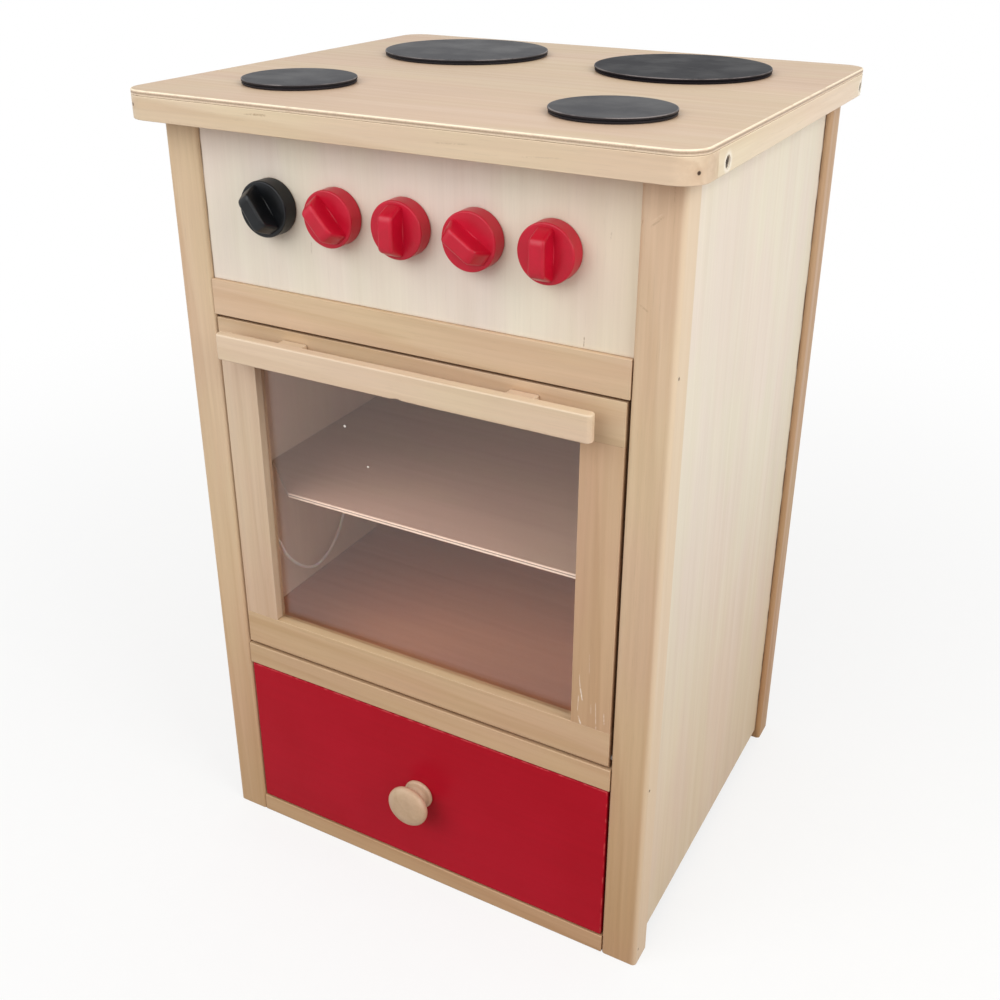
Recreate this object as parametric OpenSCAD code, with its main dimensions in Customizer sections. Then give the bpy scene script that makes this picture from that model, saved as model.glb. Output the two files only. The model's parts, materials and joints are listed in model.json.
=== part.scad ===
// Wooden toy cooker: four posts with thin plywood sides, an oven with a
// glazed drop-down door, a red drawer, five turning knobs and four cooking
// plates on a worktop. All sizes are in millimetres. +Z is up, the front
// faces -Y, and the origin is on the floor under the middle of the worktop.

/* [Body] */
// Width across the outer faces of the posts
body_w = 370; // [330:1:420]
// Depth from the front faces of the front posts to the backs of the rear posts
body_d = 318; // [290:1:360]
// Height of the cooking surface above the floor
stove_h = 601; // [580:1:660]
// Width of each post, seen from the front
post_w = 27.5; // [24:0.5:34]
// Depth of the front posts, seen from the side
front_post_d = 22.5; // [21:0.5:30]
// Depth of the rear posts, seen from the side
rear_post_d = 24; // [20:0.5:30]
// Radius of the rounded long edges of the posts
post_edge_r = 3.2; // [1:0.1:5]
// Thickness of the plywood side panels
side_panel_t = 5; // [3:0.5:6]
// How far the side panels sit in from the outer faces of the posts
side_panel_inset = 4.6; // [3:0.1:8]
// Thickness of the plywood back panel
back_panel_t = 4; // [3:0.5:6]
// How far the back panel sits in from the backs of the posts
back_panel_inset = 6; // [4:0.5:9]
// Depth of the grooves that hold the panels in the posts
panel_groove = 5; // [3:0.5:7]
// Height of the lower edges of the panels above the floor
panel_lift = 9; // [5:0.5:14]

/* [Worktop] */
// Height of the solid rails round the worktop
top_rail_h = 15.4; // [12:0.2:20]
// Width of the worktop rails, seen from above
top_rail_w = 28; // [26:0.5:34]
// Thickness of the plywood sheet on the rails
top_sheet_t = 3.6; // [3:0.2:6]
// How far the worktop overhangs the posts at each side
top_side_over = 13.3; // [8:0.1:20]
// How far the worktop overhangs the front posts
top_front_over = 22.7; // [22.7:0.1:30]
// How far the worktop overhangs the rear posts
top_back_over = 11; // [4:0.5:20]
// Radius of the worktop corners in plan
top_corner_r = 17; // [10:1:24]

/* [Cooking plates] */
// Diameter of the two front plates
small_plate_d = 77; // [60:1:90]
// Diameter of the two rear plates
large_plate_d = 126; // [100:1:135]
// Thickness of the plates
plate_t = 3.8; // [3:0.1:6]
// Distance of the front plates from the middle of the worktop
small_plate_x = 114; // [100:1:125]
// Distance of the rear plates from the middle of the worktop
large_plate_x = 89; // [80:1:100]
// Distance of the front plates' centres behind the front posts' faces
small_plate_y = 57; // [45:1:70]
// Distance of the rear plates' centres behind the front posts' faces
large_plate_y = 235; // [215:1:245]

/* [Front rails] */
// Height of the underside of the rail above the oven door
control_rail_z = 448; // [430:1:456]
// Height of that rail
control_rail_h = 25.5; // [20:0.5:30]
// Height of the top of the rail between the door and the drawer
middle_rail_top = 171.2; // [160:0.1:180]
// Height of that rail
middle_rail_h = 18; // [14:0.5:22]
// Height of the rail under the drawer
bottom_rail_h = 15.2; // [12:0.1:20]
// Thickness of the three front rails
front_rail_t = 22; // [20:0.5:26]
// Thickness of the plywood control panel
control_panel_t = 5; // [4:0.5:6]
// How far the control panel sits back from the posts' faces
control_panel_set = 3; // [1:0.5:5]

/* [Oven] */
// Thickness of the plywood oven floor and ceiling
oven_board_t = 5; // [4:0.5:6]
// Height of the oven ceiling above the underside of the rail over the door
ceiling_lift = 6; // [4:0.5:9]
// Thickness of the plywood shelf
shelf_t = 4; // [3:0.5:6]
// Height of the top of the shelf
shelf_top = 300.5; // [296:0.5:340]
// Distance of the shelf's front edge behind the front posts' faces
shelf_front = 30; // [28:1:50]
// Width of the cut across each front corner of the shelf
shelf_corner_x = 46; // [30:1:60]
// Depth of the cut across each front corner of the shelf
shelf_corner_y = 39; // [30:1:60]
// Side of the square strips that carry the oven boards
cleat_s = 8; // [6:0.5:10]

/* [Oven door] */
// Gap all round the oven door
door_gap = 1.8; // [1.6:0.1:2.5]
// Thickness of the door frame
door_t = 16; // [15:0.5:18]
// Width of the door's rails and stiles
door_member_w = 29.5; // [26:0.5:34]
// Thickness of the clear window pane
pane_t = 3; // [2:0.5:4]
// How far the pane sits back from the door's front face
pane_set = 7; // [6:0.5:8]
// Depth of the groove that holds the pane
pane_groove = 6; // [4:0.5:8]
// Distance of the hinge axis from the door's front face and lower edge
hinge_set = 6; // [5:0.25:7]
// Diameter of the steel hinge pins
hinge_pin_d = 4; // [3:0.5:5]
// Radius of the door's lower front edge
door_lower_r = 3; // [2:0.25:4]
// Diameter of the dowels in the door frame's corners
dowel_d = 5; // [4:0.5:6]
// Length of those dowels
dowel_l = 26; // [20:1:30]

/* [Door handle] */
// Length of the handle bar
handle_l = 284; // [220:1:296]
// Height of the handle bar
handle_h = 18.6; // [14:0.2:22]
// Thickness of the handle bar
handle_t = 8; // [8:0.5:10]
// Gap between the handle bar and the door
handle_gap = 12; // [8:0.5:12]
// Distance of the handle's middle below the door's upper edge
handle_drop = 13.2; // [12:0.1:16]
// Width of each block between the handle and the door
standoff_w = 20; // [14:0.5:26]
// Height of each block between the handle and the door
standoff_h = 15; // [10:0.5:18]
// Distance of each block from the middle of the door
standoff_x = 88; // [70:1:110]

/* [Drawer] */
// Gap round the drawer front
drawer_gap = 1.3; // [1:0.1:2]
// Thickness of the drawer front
drawer_front_t = 12; // [10:0.5:15]
// How far the drawer front sits back from the posts' faces
drawer_front_set = 0.5; // [0:0.1:2]
// Thickness of the drawer's sides and back
drawer_board_t = 9; // [7:0.5:12]
// Height of the drawer's sides and back
drawer_side_h = 100; // [70:1:110]
// Gap between the closed drawer's back and the back panel
drawer_back_gap = 20.5; // [12:0.5:90]
// Thickness of the drawer's plywood bottom
drawer_bottom_t = 4; // [3:0.5:5]
// Height of the drawer bottom above the lower edges of the sides
drawer_bottom_lift = 6; // [4:0.5:10]
// Depth of the grooves that hold the drawer bottom
drawer_groove = 4; // [3:0.5:5]
// Gap between the drawer and its runners
slide_gap = 0.3; // [0.2:0.1:0.6]
// Diameter of the turned drawer knob
drawer_knob_d = 34; // [26:1:40]
// Distance that the drawer knob stands out
drawer_knob_l = 21.5; // [18:0.5:22]

/* [Control knobs] */
// Diameter of the control knobs
knob_d = 37; // [30:1:42]
// Thickness of a control knob without its grip
knob_disc_t = 11.5; // [8:0.5:13]
// Height of the grip that stands on a control knob
knob_grip_h = 12.5; // [8:0.5:12.5]
// Width of that grip
knob_grip_w = 10.5; // [8:0.5:14]
// How far the ends of that grip slope inwards from the disc to the top
knob_grip_slope = 5.5; // [1:0.5:6]
// Distance between the knobs' centres
knob_pitch = 51; // [44:0.5:56]
// Sideways shift of the row of knobs
knob_row_x = 2.5; // [-5:0.5:5]
// Height of the knobs' centres above the middle of the control panel
knob_lift = 3.25; // [-4:0.25:4]
// Diameter of the shaft of a control knob
knob_shaft_d = 10; // [6:0.5:12]
// Radial clearance of a shaft or pin that turns in its hole
running_gap = 0.05; // [0.02:0.01:0.1]

/* [Fixings] */
// Diameter of the nails through the posts
nail_d = 2.2; // [1.6:0.1:3]
// Length of those nails
nail_l = 45; // [36:1:50]
// Shank diameter of the screws
screw_d = 4; // [3:0.5:4.5]
// Head diameter of the countersunk screws
screw_head_d = 8; // [6.5:0.5:9]
// Diameter of the door's stay cord
cord_d = 2.4; // [1.6:0.2:3]

/* [Hidden] */

// Colours
pale_ply = [0.89, 0.84, 0.75];
light_wood = [0.84, 0.73, 0.58];
bright_wood = [0.86, 0.79, 0.68];
top_wood = [0.84, 0.77, 0.66];
top_ply = [0.83, 0.74, 0.64];
red_paint = [0.65, 0.11, 0.16];
red_plastic = [0.78, 0.16, 0.24];
black_plastic = [0.09, 0.1, 0.11];
plate_black = [0.24, 0.24, 0.26];
clear_pane = [0.75, 0.72, 0.72, 0.35];
steel = [0.72, 0.72, 0.73];
cord_white = [0.85, 0.84, 0.8];

// Heights and places that several pieces share
half_w = body_w / 2;
inner_half = half_w - post_w;
post_top = stove_h - top_sheet_t - top_rail_h;
panel_outer_x = half_w - side_panel_inset;
panel_inner_x = panel_outer_x - side_panel_t;
back_panel_y = body_d - back_panel_inset - back_panel_t;
rear_post_y = body_d - rear_post_d;
body_shift = -(body_d + top_back_over - top_front_over) / 2;
control_rail_top = control_rail_z + control_rail_h;
middle_rail_z = middle_rail_top - middle_rail_h;

// Oven boards sit in a rebate behind the rails
rebate_d = 6;
board_front = front_rail_t - rebate_d;
ceiling_z = control_rail_z + ceiling_lift;

// Door
door_half = inner_half - door_gap;
door_z = middle_rail_top + door_gap;
door_top_z = control_rail_z - door_gap;
window_half = door_half - door_member_w;
window_z = door_z + door_member_w;
window_top_z = door_top_z - door_member_w;
hinge_y = hinge_set;
hinge_z = door_z + hinge_set;
dowel_wall = 2;
pin_in_post = 12;
pin_in_door = 14;
pin_x = inner_half + pin_in_post;
handle_z = door_top_z - handle_drop;
handle_screw_end = 2.5;

// Magnetic catch over the door
magnet_w = 30;
magnet_h = 11;
magnet_d = 11;
strike_t = 1;
magnet_gap = 0.3;
strike_w = 26;
strike_h = 9;

// Control knobs
knob_z = (control_rail_top + post_top) / 2 + knob_lift;
knob_back_gap = 0.4;
knob_collar_t = 2;
knob_collar_d = knob_shaft_d + 3;
knob_chamfer = 1.2;
knob_grip_margin = 2.5;
knob_grip_rounding = 1.5;
knob_turns = [34, 41, 0, 56, 0];
panel_back_y = control_panel_set + control_panel_t;

// Drawer
drawer_half = inner_half - drawer_gap;
drawer_z = bottom_rail_h + drawer_gap;
drawer_top_z = middle_rail_z - drawer_gap;
drawer_front_y = drawer_front_set + drawer_front_t;
drawer_guide_gap = 0.5;
runner_guide_t = 12;
runner_guide_h = 22;
runner_base_t = 10;
runner_shelf = 13;
runner_front_y = max(front_post_d, front_rail_t);
drawer_side_x = inner_half - 7;
drawer_box_z = drawer_z + 2;
drawer_knob_z = (drawer_z + drawer_top_z) / 2;
drawer_box_y = back_panel_y - drawer_back_gap;
drawer_box_l = drawer_box_y - drawer_front_y;
runner_top = drawer_box_z - slide_gap;

// Nails through the posts at the middle of each front rail
nail_y = 5;
nail_levels = [
  control_rail_z + control_rail_h - 8,
  middle_rail_z + middle_rail_h / 2,
  bottom_rail_h - 2.5
];

// Worktop
top_half = half_w + top_side_over;
top_front_y = -top_front_over;
top_back_y = body_d + top_back_over;
top_d = top_back_y - top_front_y;
side_rail_y = top_front_y + top_rail_w;
rear_rail_y = top_back_y - top_rail_w;
side_rail_x = top_half - top_rail_w;
block_w = side_rail_x - inner_half;
top_screw_l = 38;
top_screw_z = post_top + 6;
top_screw_ys = [side_rail_y + 15, rear_rail_y + 11];
block_l = 30;
screw_sink = 1;

// Door stay cord, from the screw in the left stile down into a loop by the
// left side wall and up again to the screw in the wall, as chosen by hand
stay_screw_d = 3;
stay_head_d = 8;
stay_head_t = 2.2;
stay_shank = 3.6;
stay_screw_in = 9;
stay_door_x = -door_half + 14.7;
stay_wall_y = 149;
stay_wall_z = shelf_top - shelf_t - cleat_s - 7.5;
stay_door_z = stay_wall_z + 11;
cord_points = [
  [-141, 17.8, 290.2], [-142, 19, 281], [-143, 23, 270],
  [-145, 30, 258], [-148, 39, 245], [-151, 47, 232], [-155, 60, 217],
  [-158, 74, 204], [-161, 88, 194.5], [-164, 103, 189],
  [-167, 122, 190], [-169, 138, 198], [-171, 151, 211],
  [-172, 160, 227], [-173, 165, 243], [-173.6, 166, 257],
  [-173.6, 161.5, 271], [-173.6, 150.2, 279.7]
];
cord_steps = 3;
cord_sides = 8;

// Moves a piece from the frame of the front posts' faces to the part's frame
module placed() translate([0, body_shift, 0]) children();

// Box with rounded vertical edges, from its lower left front corner
module round_bar(w, d, h, r) {
  linear_extrude(h) {
    translate([r, 0]) square([w - 2 * r, d]);
    translate([0, r]) square([w, d - 2 * r]);
    for (x = [r, w - r], y = [r, d - r])
      translate([x, y]) circle(r, $fn = 48);
  }
}

// Cylinder along X or Y from a point
module rod_x(p, l, r) translate(p) rotate([0, 90, 0]) cylinder(l, r, r, $fn = 48);
module rod_y(p, l, r) translate(p) rotate([-90, 0, 0]) cylinder(l, r, r, $fn = 48);

module both_sides() {
  children();
  mirror([1, 0, 0]) children();
}

// Holes for the nails that run inwards from the outer face of a right post
module nails_right() {
  for (z = nail_levels)
    rod_x([half_w - nail_l - 0.3, nail_y, z], nail_l, nail_d / 2);
}

// Posts, modelled on the right and mirrored to the left

module front_post_right() placed() difference() {
  translate([inner_half, 0, 0])
    round_bar(post_w, front_post_d, post_top, post_edge_r);
  translate([panel_inner_x, front_post_d - panel_groove, panel_lift])
    cube([side_panel_t, panel_groove + 1, post_top]);
  rod_x([inner_half - 1, hinge_y, hinge_z], pin_in_post + 1,
        hinge_pin_d / 2 + running_gap);
  for (z = nail_levels)
    rod_x([inner_half - 1, nail_y, z], post_w + 2, nail_d / 2);
}

module rear_post_right() placed() difference() {
  translate([inner_half, rear_post_y, 0])
    round_bar(post_w, rear_post_d, post_top, post_edge_r);
  translate([panel_inner_x, rear_post_y - 1, panel_lift])
    cube([side_panel_t, panel_groove + 1, post_top]);
  translate([inner_half - 1, back_panel_y, panel_lift])
    cube([panel_groove + 1, back_panel_t, post_top]);
}

module front_right_post() color(light_wood) front_post_right();
module front_left_post() color(light_wood) mirror([1, 0, 0]) front_post_right();
module rear_right_post() color(light_wood) rear_post_right();
module rear_left_post() color(light_wood) mirror([1, 0, 0]) rear_post_right();

// Panels

module side_panel_right() placed()
  translate([panel_inner_x, front_post_d - panel_groove, panel_lift])
    cube([side_panel_t, rear_post_y - front_post_d + 2 * panel_groove,
          post_top - panel_lift]);

module right_side_panel() color(pale_ply) side_panel_right();

module left_side_panel() color(pale_ply) difference() {
  mirror([1, 0, 0]) side_panel_right();
  placed() stay_wall_screw_shank();
}

module back_panel() color(pale_ply) placed()
  translate([-inner_half - panel_groove, back_panel_y, panel_lift])
    cube([2 * (inner_half + panel_groove), back_panel_t,
          post_top - panel_lift]);

// Front rails

module rail_block(z, h) translate([-inner_half, 0, z])
  cube([2 * inner_half, front_rail_t, h]);

module control_rail() color(light_wood) placed() difference() {
  rail_block(control_rail_z, control_rail_h);
  translate([-inner_half - 1, board_front, ceiling_z])
    cube([2 * inner_half + 2, rebate_d + 1, oven_board_t]);
  both_sides() nails_right();
}

module middle_rail() color(light_wood) placed() difference() {
  rail_block(middle_rail_z, middle_rail_h);
  translate([-inner_half - 1, board_front, middle_rail_top - oven_board_t])
    cube([2 * inner_half + 2, rebate_d + 1, oven_board_t + 1]);
  both_sides() nails_right();
}

module bottom_rail() color(light_wood) placed() difference() {
  rail_block(0, bottom_rail_h);
  both_sides() nails_right();
}

module control_panel() color(pale_ply) placed() difference() {
  translate([-inner_half, control_panel_set, control_rail_top])
    cube([2 * inner_half, control_panel_t, post_top - control_rail_top]);
  for (i = [0:4])
    rod_y([knob_x(i), control_panel_set - 1, knob_z], control_panel_t + 2,
          knob_shaft_d / 2 + running_gap);
}

// Strips glued in the corners behind the control panel
module control_panel_cleats() color(light_wood) placed() both_sides()
  translate([inner_half - cleat_s, panel_back_y, control_rail_top])
    cube([cleat_s, cleat_s, post_top - control_rail_top]);

// Oven boards: full width between the side panels, narrowed at the posts

module board_outline(front) {
  translate([-panel_inner_x, front_post_d])
    square([2 * panel_inner_x, rear_post_y - front_post_d]);
  translate([-inner_half, front])
    square([2 * inner_half, back_panel_y - front]);
}

module oven_board(z) placed() translate([0, 0, z])
  linear_extrude(oven_board_t) board_outline(board_front);

module oven_floor() color(pale_ply) oven_board(middle_rail_top - oven_board_t);

module oven_ceiling() color(pale_ply) oven_board(ceiling_z);

module shelf() color(pale_ply) placed()
  translate([0, 0, shelf_top - shelf_t]) linear_extrude(shelf_t) {
    polygon([
      [-panel_inner_x + shelf_corner_x, shelf_front],
      [panel_inner_x - shelf_corner_x, shelf_front],
      [panel_inner_x, shelf_front + shelf_corner_y],
      [panel_inner_x, rear_post_y], [-panel_inner_x, rear_post_y],
      [-panel_inner_x, shelf_front + shelf_corner_y]
    ]);
    translate([-inner_half, rear_post_y - 1])
      square([2 * inner_half, back_panel_y - rear_post_y + 1]);
  }

// Strips along both side panels from y = front back to the rear posts
module cleats(front, z) placed() both_sides()
  translate([panel_inner_x - cleat_s, front, z])
    cube([cleat_s, rear_post_y - front, cleat_s]);

module floor_cleats() color(light_wood)
  cleats(front_post_d, middle_rail_top - oven_board_t - cleat_s);

module shelf_cleats() color(light_wood)
  cleats(shelf_front + shelf_corner_y + 3, shelf_top - shelf_t - cleat_s);

module ceiling_cleats() color(light_wood)
  cleats(front_post_d, ceiling_z + oven_board_t);

// Worktop

module top_outline() {
  w = 2 * top_half;
  translate([-top_half, top_front_y]) {
    translate([top_corner_r, 0]) square([w - 2 * top_corner_r, top_d]);
    translate([0, top_corner_r]) square([w, top_d - 2 * top_corner_r]);
    for (x = [top_corner_r, w - top_corner_r],
         y = [top_corner_r, top_d - top_corner_r])
      translate([x, y]) circle(top_corner_r, $fn = 72);
  }
}

// Part of the worktop's outline between two depths and two widths
module top_rail(x0, x1, y0, y1) placed() translate([0, 0, post_top])
  linear_extrude(top_rail_h) intersection() {
    top_outline();
    translate([x0, y0]) square([x1 - x0, y1 - y0]);
  }

module top_front_rail() color(top_wood)
  top_rail(-top_half, top_half, top_front_y, side_rail_y);

module top_rear_rail() color(top_wood) difference() {
  top_rail(-side_rail_x, side_rail_x, rear_rail_y, top_back_y);
  placed() both_sides() top_screws_right();
}

module top_right_rail() color(top_wood) difference() {
  top_rail(side_rail_x, top_half, side_rail_y, top_back_y);
  placed() top_screw_holes_right();
}

module top_left_rail() color(top_wood) difference() {
  top_rail(-top_half, -side_rail_x, side_rail_y, top_back_y);
  placed() mirror([1, 0, 0]) top_screw_holes_right();
}

module top_sheet() color(top_ply) placed()
  translate([0, 0, post_top + top_rail_h])
    linear_extrude(top_sheet_t) top_outline();

// Blocks on the front posts' tops, inside the side rails, for the screws
module top_fixing_blocks() color(light_wood) placed() both_sides()
  difference() {
    translate([inner_half, side_rail_y, post_top])
      cube([block_w, block_l, top_rail_h]);
    top_screws_right();
  }

// Countersunk screw along -X with its head's face at x
module screw_in(x, y, z, l, d, head_d) translate([x, y, z])
  rotate([0, -90, 0]) rotate_extrude($fn = 48)
    polygon([[0, 0], [head_d / 2, 0], [d / 2, (head_d - d) / 2],
             [d / 2, l], [0, l]]);

module top_screws_right() for (y = top_screw_ys)
  screw_in(top_half - screw_sink, y, top_screw_z, top_screw_l, screw_d,
           screw_head_d);

// The screws with the open countersinks over their heads
module top_screw_holes_right() {
  top_screws_right();
  for (y = top_screw_ys)
    rod_x([top_half - screw_sink, y, top_screw_z], screw_sink + 1,
          screw_head_d / 2);
}

module top_rail_screws() color(steel) placed() both_sides() top_screws_right();

module post_nails() color(steel) placed() both_sides() nails_right();

// Cooking plates: a disc with a groove round its edge

module plate(x, y, d) placed() translate([x, y, stove_h])
  rotate_extrude($fn = 96)
    polygon([
      [0, 0], [d / 2 - 1.2, 0], [d / 2 - 0.4, 0.6], [d / 2 - 0.4, 1.5],
      [d / 2 - 1.4, 1.7], [d / 2 - 1.4, 2.1], [d / 2, 2.3],
      [d / 2, plate_t - 0.5], [d / 2 - 0.5, plate_t], [0, plate_t]
    ]);

module front_left_plate() color(plate_black)
  plate(-small_plate_x, small_plate_y, small_plate_d);

module front_right_plate() color(plate_black)
  plate(small_plate_x, small_plate_y, small_plate_d);

module rear_left_plate() color(plate_black)
  plate(-large_plate_x, large_plate_y, large_plate_d);

module rear_right_plate() color(plate_black)
  plate(large_plate_x, large_plate_y, large_plate_d);

// Control knobs: a disc with a grip across it, and a shaft with a collar
// that snaps behind the control panel

function knob_x(i) = knob_row_x + (i - 2) * knob_pitch;

module knob_grip()
  translate([-knob_grip_w / 2, 0, knob_disc_t]) rotate([90, 0, 90])
    linear_extrude(knob_grip_w) {
      foot = knob_d / 2 - knob_grip_margin;
      r = knob_grip_rounding;
      hull() {
        translate([-foot, -1]) square([2 * foot, 1]);
        for (s = [-1, 1])
          translate([s * (foot - knob_grip_slope - r), knob_grip_h - r])
            circle(r, $fn = 32);
      }
    }

module knob(i) placed()
  translate([knob_x(i), control_panel_set - knob_back_gap, knob_z])
    rotate([0, -knob_turns[i], 0]) rotate([90, 0, 0]) {
      r = knob_d / 2;
      shaft_l = knob_back_gap * 2 + control_panel_t;
      rotate_extrude($fn = 96)
        polygon([
          [0, -shaft_l - knob_collar_t],
          [knob_collar_d / 2, -shaft_l - knob_collar_t],
          [knob_collar_d / 2, -shaft_l], [knob_shaft_d / 2, -shaft_l],
          [knob_shaft_d / 2, 0], [r, 0], [r, knob_disc_t - knob_chamfer],
          [r - knob_chamfer, knob_disc_t], [0, knob_disc_t]
        ]);
      knob_grip();
    }

module knob_1() color(black_plastic) knob(0);
module knob_2() color(red_plastic) knob(1);
module knob_3() color(red_plastic) knob(2);
module knob_4() color(red_plastic) knob(3);
module knob_5() color(red_plastic) knob(4);

// Oven door: rails over the full width, stiles between them, and a pane in
// a groove round the window

module pane_space() translate([
    -window_half - pane_groove, pane_set, window_z - pane_groove
  ])
  cube([2 * (window_half + pane_groove), pane_t,
        window_top_z - window_z + 2 * pane_groove]);

module dowels_right() {
  inner_x = window_half + pane_groove + dowel_wall + dowel_d / 2;
  outer_x = door_half - 2 * dowel_wall - dowel_d / 2;
  for (x = [inner_x, outer_x], z = [window_z, window_top_z])
    translate([x, door_t - 4.2, z - dowel_l / 2])
      cylinder(dowel_l, dowel_d / 2, dowel_d / 2, $fn = 32);
}

module handle_screws_shape() for (s = [-1, 1])
  translate([s * standoff_x, door_t - 0.3, handle_z - 1]) rotate([90, 0, 0])
    rotate_extrude($fn = 48) {
      l = door_t - 0.3 + handle_gap + handle_t - handle_screw_end;
      polygon([[0, 0], [screw_head_d / 2, 0],
               [screw_d / 2, (screw_head_d - screw_d) / 2],
               [screw_d / 2, l], [0, l]]);
    }

// Space that a screw's shape and the air above its sunk head take up
module sink_handle_screws() {
  handle_screws_shape();
  for (s = [-1, 1])
    rod_y([s * standoff_x, door_t - 0.3, handle_z - 1], 1, screw_head_d / 2);
}

module strike_plate_space() translate([
    -strike_w / 2, door_t - strike_t, door_top_z - 1 - strike_h
  ])
  cube([strike_w, strike_t + 1, strike_h]);

module door_top_rail() color(light_wood) placed() difference() {
  translate([-door_half, 0, window_top_z])
    cube([2 * door_half, door_t, door_member_w]);
  pane_space();
  both_sides() dowels_right();
  sink_handle_screws();
  strike_plate_space();
}

module door_bottom_rail() color(light_wood) placed() difference() {
  translate([-door_half, 0, door_z]) rotate([90, 0, 90])
    linear_extrude(2 * door_half) {
      translate([door_lower_r, 0]) square([door_t - door_lower_r, door_member_w]);
      translate([0, door_lower_r])
        square([door_lower_r, door_member_w - door_lower_r]);
      translate([door_lower_r, door_lower_r]) circle(door_lower_r, $fn = 48);
    }
  pane_space();
  both_sides() {
    dowels_right();
    rod_x([door_half - pin_in_door, hinge_y, hinge_z], pin_in_door + 1,
          hinge_pin_d / 2 + running_gap);
  }
}

module door_stile_right() placed() difference() {
  translate([window_half, 0, window_z])
    cube([door_member_w, door_t, window_top_z - window_z]);
  pane_space();
  dowels_right();
}

module door_right_stile() color(light_wood) door_stile_right();

module door_left_stile() color(light_wood) difference() {
  mirror([1, 0, 0]) door_stile_right();
  placed() stay_door_screw_shank();
}

module door_dowels() color(light_wood) placed() both_sides() dowels_right();

module window_pane() color(clear_pane) placed() pane_space();

module handle_bar() color(bright_wood) placed() difference() {
  translate([-handle_l / 2, -handle_gap - handle_t, handle_z - handle_h / 2])
    round_bar(handle_l, handle_t, handle_h, 3.5);
  handle_screws_shape();
}

module handle_standoffs() color(bright_wood) placed() difference() {
  for (s = [-1, 1])
    translate([s * standoff_x - standoff_w / 2, -handle_gap,
               handle_z - standoff_h / 2 - 1])
      cube([standoff_w, handle_gap, standoff_h]);
  handle_screws_shape();
}

module handle_screws() color(steel) placed() handle_screws_shape();

module door_hinge_pins() color(steel) placed() both_sides()
  rod_x([door_half - pin_in_door + 0.5, hinge_y, hinge_z],
        pin_x - door_half + pin_in_door - 0.8, hinge_pin_d / 2);

module catch_magnet() color([0.93, 0.92, 0.9]) placed()
  translate([-magnet_w / 2, door_t + magnet_gap, control_rail_z - magnet_h])
    cube([magnet_w, magnet_d, magnet_h]);

module catch_strike_plate() color(steel) placed()
  translate([-strike_w / 2, door_t - strike_t, door_top_z - 1 - strike_h])
    cube([strike_w, strike_t, strike_h]);

// Door stay

module stay_wall_screw_shank()
  rod_x([-panel_inner_x - side_panel_t + 0.5, stay_wall_y, stay_wall_z],
        side_panel_t - 0.5 + stay_shank, stay_screw_d / 2);

module stay_door_screw_shank()
  rod_y([stay_door_x, door_t - stay_screw_in, stay_door_z],
        stay_screw_in + stay_shank, stay_screw_d / 2);

module stay_wall_screw() color(steel) placed() {
  stay_wall_screw_shank();
  rod_x([-panel_inner_x + stay_shank, stay_wall_y, stay_wall_z],
        stay_head_t, stay_head_d / 2);
}

module stay_door_screw() color(steel) placed() {
  stay_door_screw_shank();
  rod_y([stay_door_x, door_t + stay_shank, stay_door_z],
        stay_head_t, stay_head_d / 2);
}

// A smooth curve through the cord's points
function through(a, b, c, d, t) = 0.5 * (2 * b + (c - a) * t
  + (2 * a - 5 * b + 4 * c - d) * t * t
  + (3 * b - a - 3 * c + d) * t * t * t);
function last(v) = v[len(v) - 1];
cord_ends = concat([2 * cord_points[0] - cord_points[1]], cord_points,
                   [2 * last(cord_points) - cord_points[len(cord_points) - 2]]);
cord_path = concat(
  [for (i = [1:len(cord_ends) - 3], k = [0:cord_steps - 1])
    through(cord_ends[i - 1], cord_ends[i], cord_ends[i + 1],
            cord_ends[i + 2], k / cord_steps)],
  [last(cord_points)]);
function unit(v) = v / norm(v);
function heading(p, i) = unit(
  i == 0 ? p[1] - p[0]
  : i == len(p) - 1 ? p[i] - p[i - 1]
  : p[i + 1] - p[i - 1]);
function ring(p, i, r) = let (
    h = heading(p, i),
    u = unit(cross([1, 0, 0], h)),
    v = cross(h, u))
  [for (k = [0:cord_sides - 1])
    p[i] + r * (u * cos(360 * k / cord_sides) + v * sin(360 * k / cord_sides))];

module swept_tube(p, r) {
  n = cord_sides;
  m = len(p);
  rings = [for (i = [0:m - 1]) each ring(p, i, r)];
  sides = [for (i = [0:m - 2], k = [0:n - 1], half = [0, 1])
    let (a = i * n + k, b = i * n + (k + 1) % n)
    half == 0 ? [a, b, b + n] : [a, b + n, a + n]];
  start = [for (k = [1:n - 2]) [0, k + 1, k]];
  end = [for (k = [1:n - 2]) [(m - 1) * n, (m - 1) * n + k, (m - 1) * n + k + 1]];
  polyhedron(rings, concat(start, sides, end));
}

module stay_cord() color(cord_white) placed() swept_tube(cord_path, cord_d / 2);

// Drawer

module drawer_bottom_space() translate([
    -drawer_side_x + drawer_board_t - drawer_groove,
    drawer_front_y - drawer_groove, drawer_box_z + drawer_bottom_lift
  ])
  cube([2 * (drawer_side_x - drawer_board_t + drawer_groove),
        drawer_box_l - drawer_board_t + 2 * drawer_groove, drawer_bottom_t]);

module drawer_screw_shape() translate([0, drawer_front_y + 2.5, drawer_knob_z])
  rotate([90, 0, 0]) rotate_extrude($fn = 48)
    polygon([[0, 0], [screw_head_d / 2, 0], [screw_head_d / 2, 2.5],
             [screw_d / 2, 2.5], [screw_d / 2, 2.5 + drawer_front_t + 12],
             [0, 2.5 + drawer_front_t + 12]]);

module drawer_front() color(red_paint) placed() difference() {
  translate([-drawer_half, drawer_front_set, drawer_z])
    cube([2 * drawer_half, drawer_front_t, drawer_top_z - drawer_z]);
  drawer_bottom_space();
  drawer_screw_shape();
}

module drawer_side_right() placed() difference() {
  translate([drawer_side_x - drawer_board_t, drawer_front_y, drawer_box_z])
    cube([drawer_board_t, drawer_box_l, drawer_side_h]);
  drawer_bottom_space();
}

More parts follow.
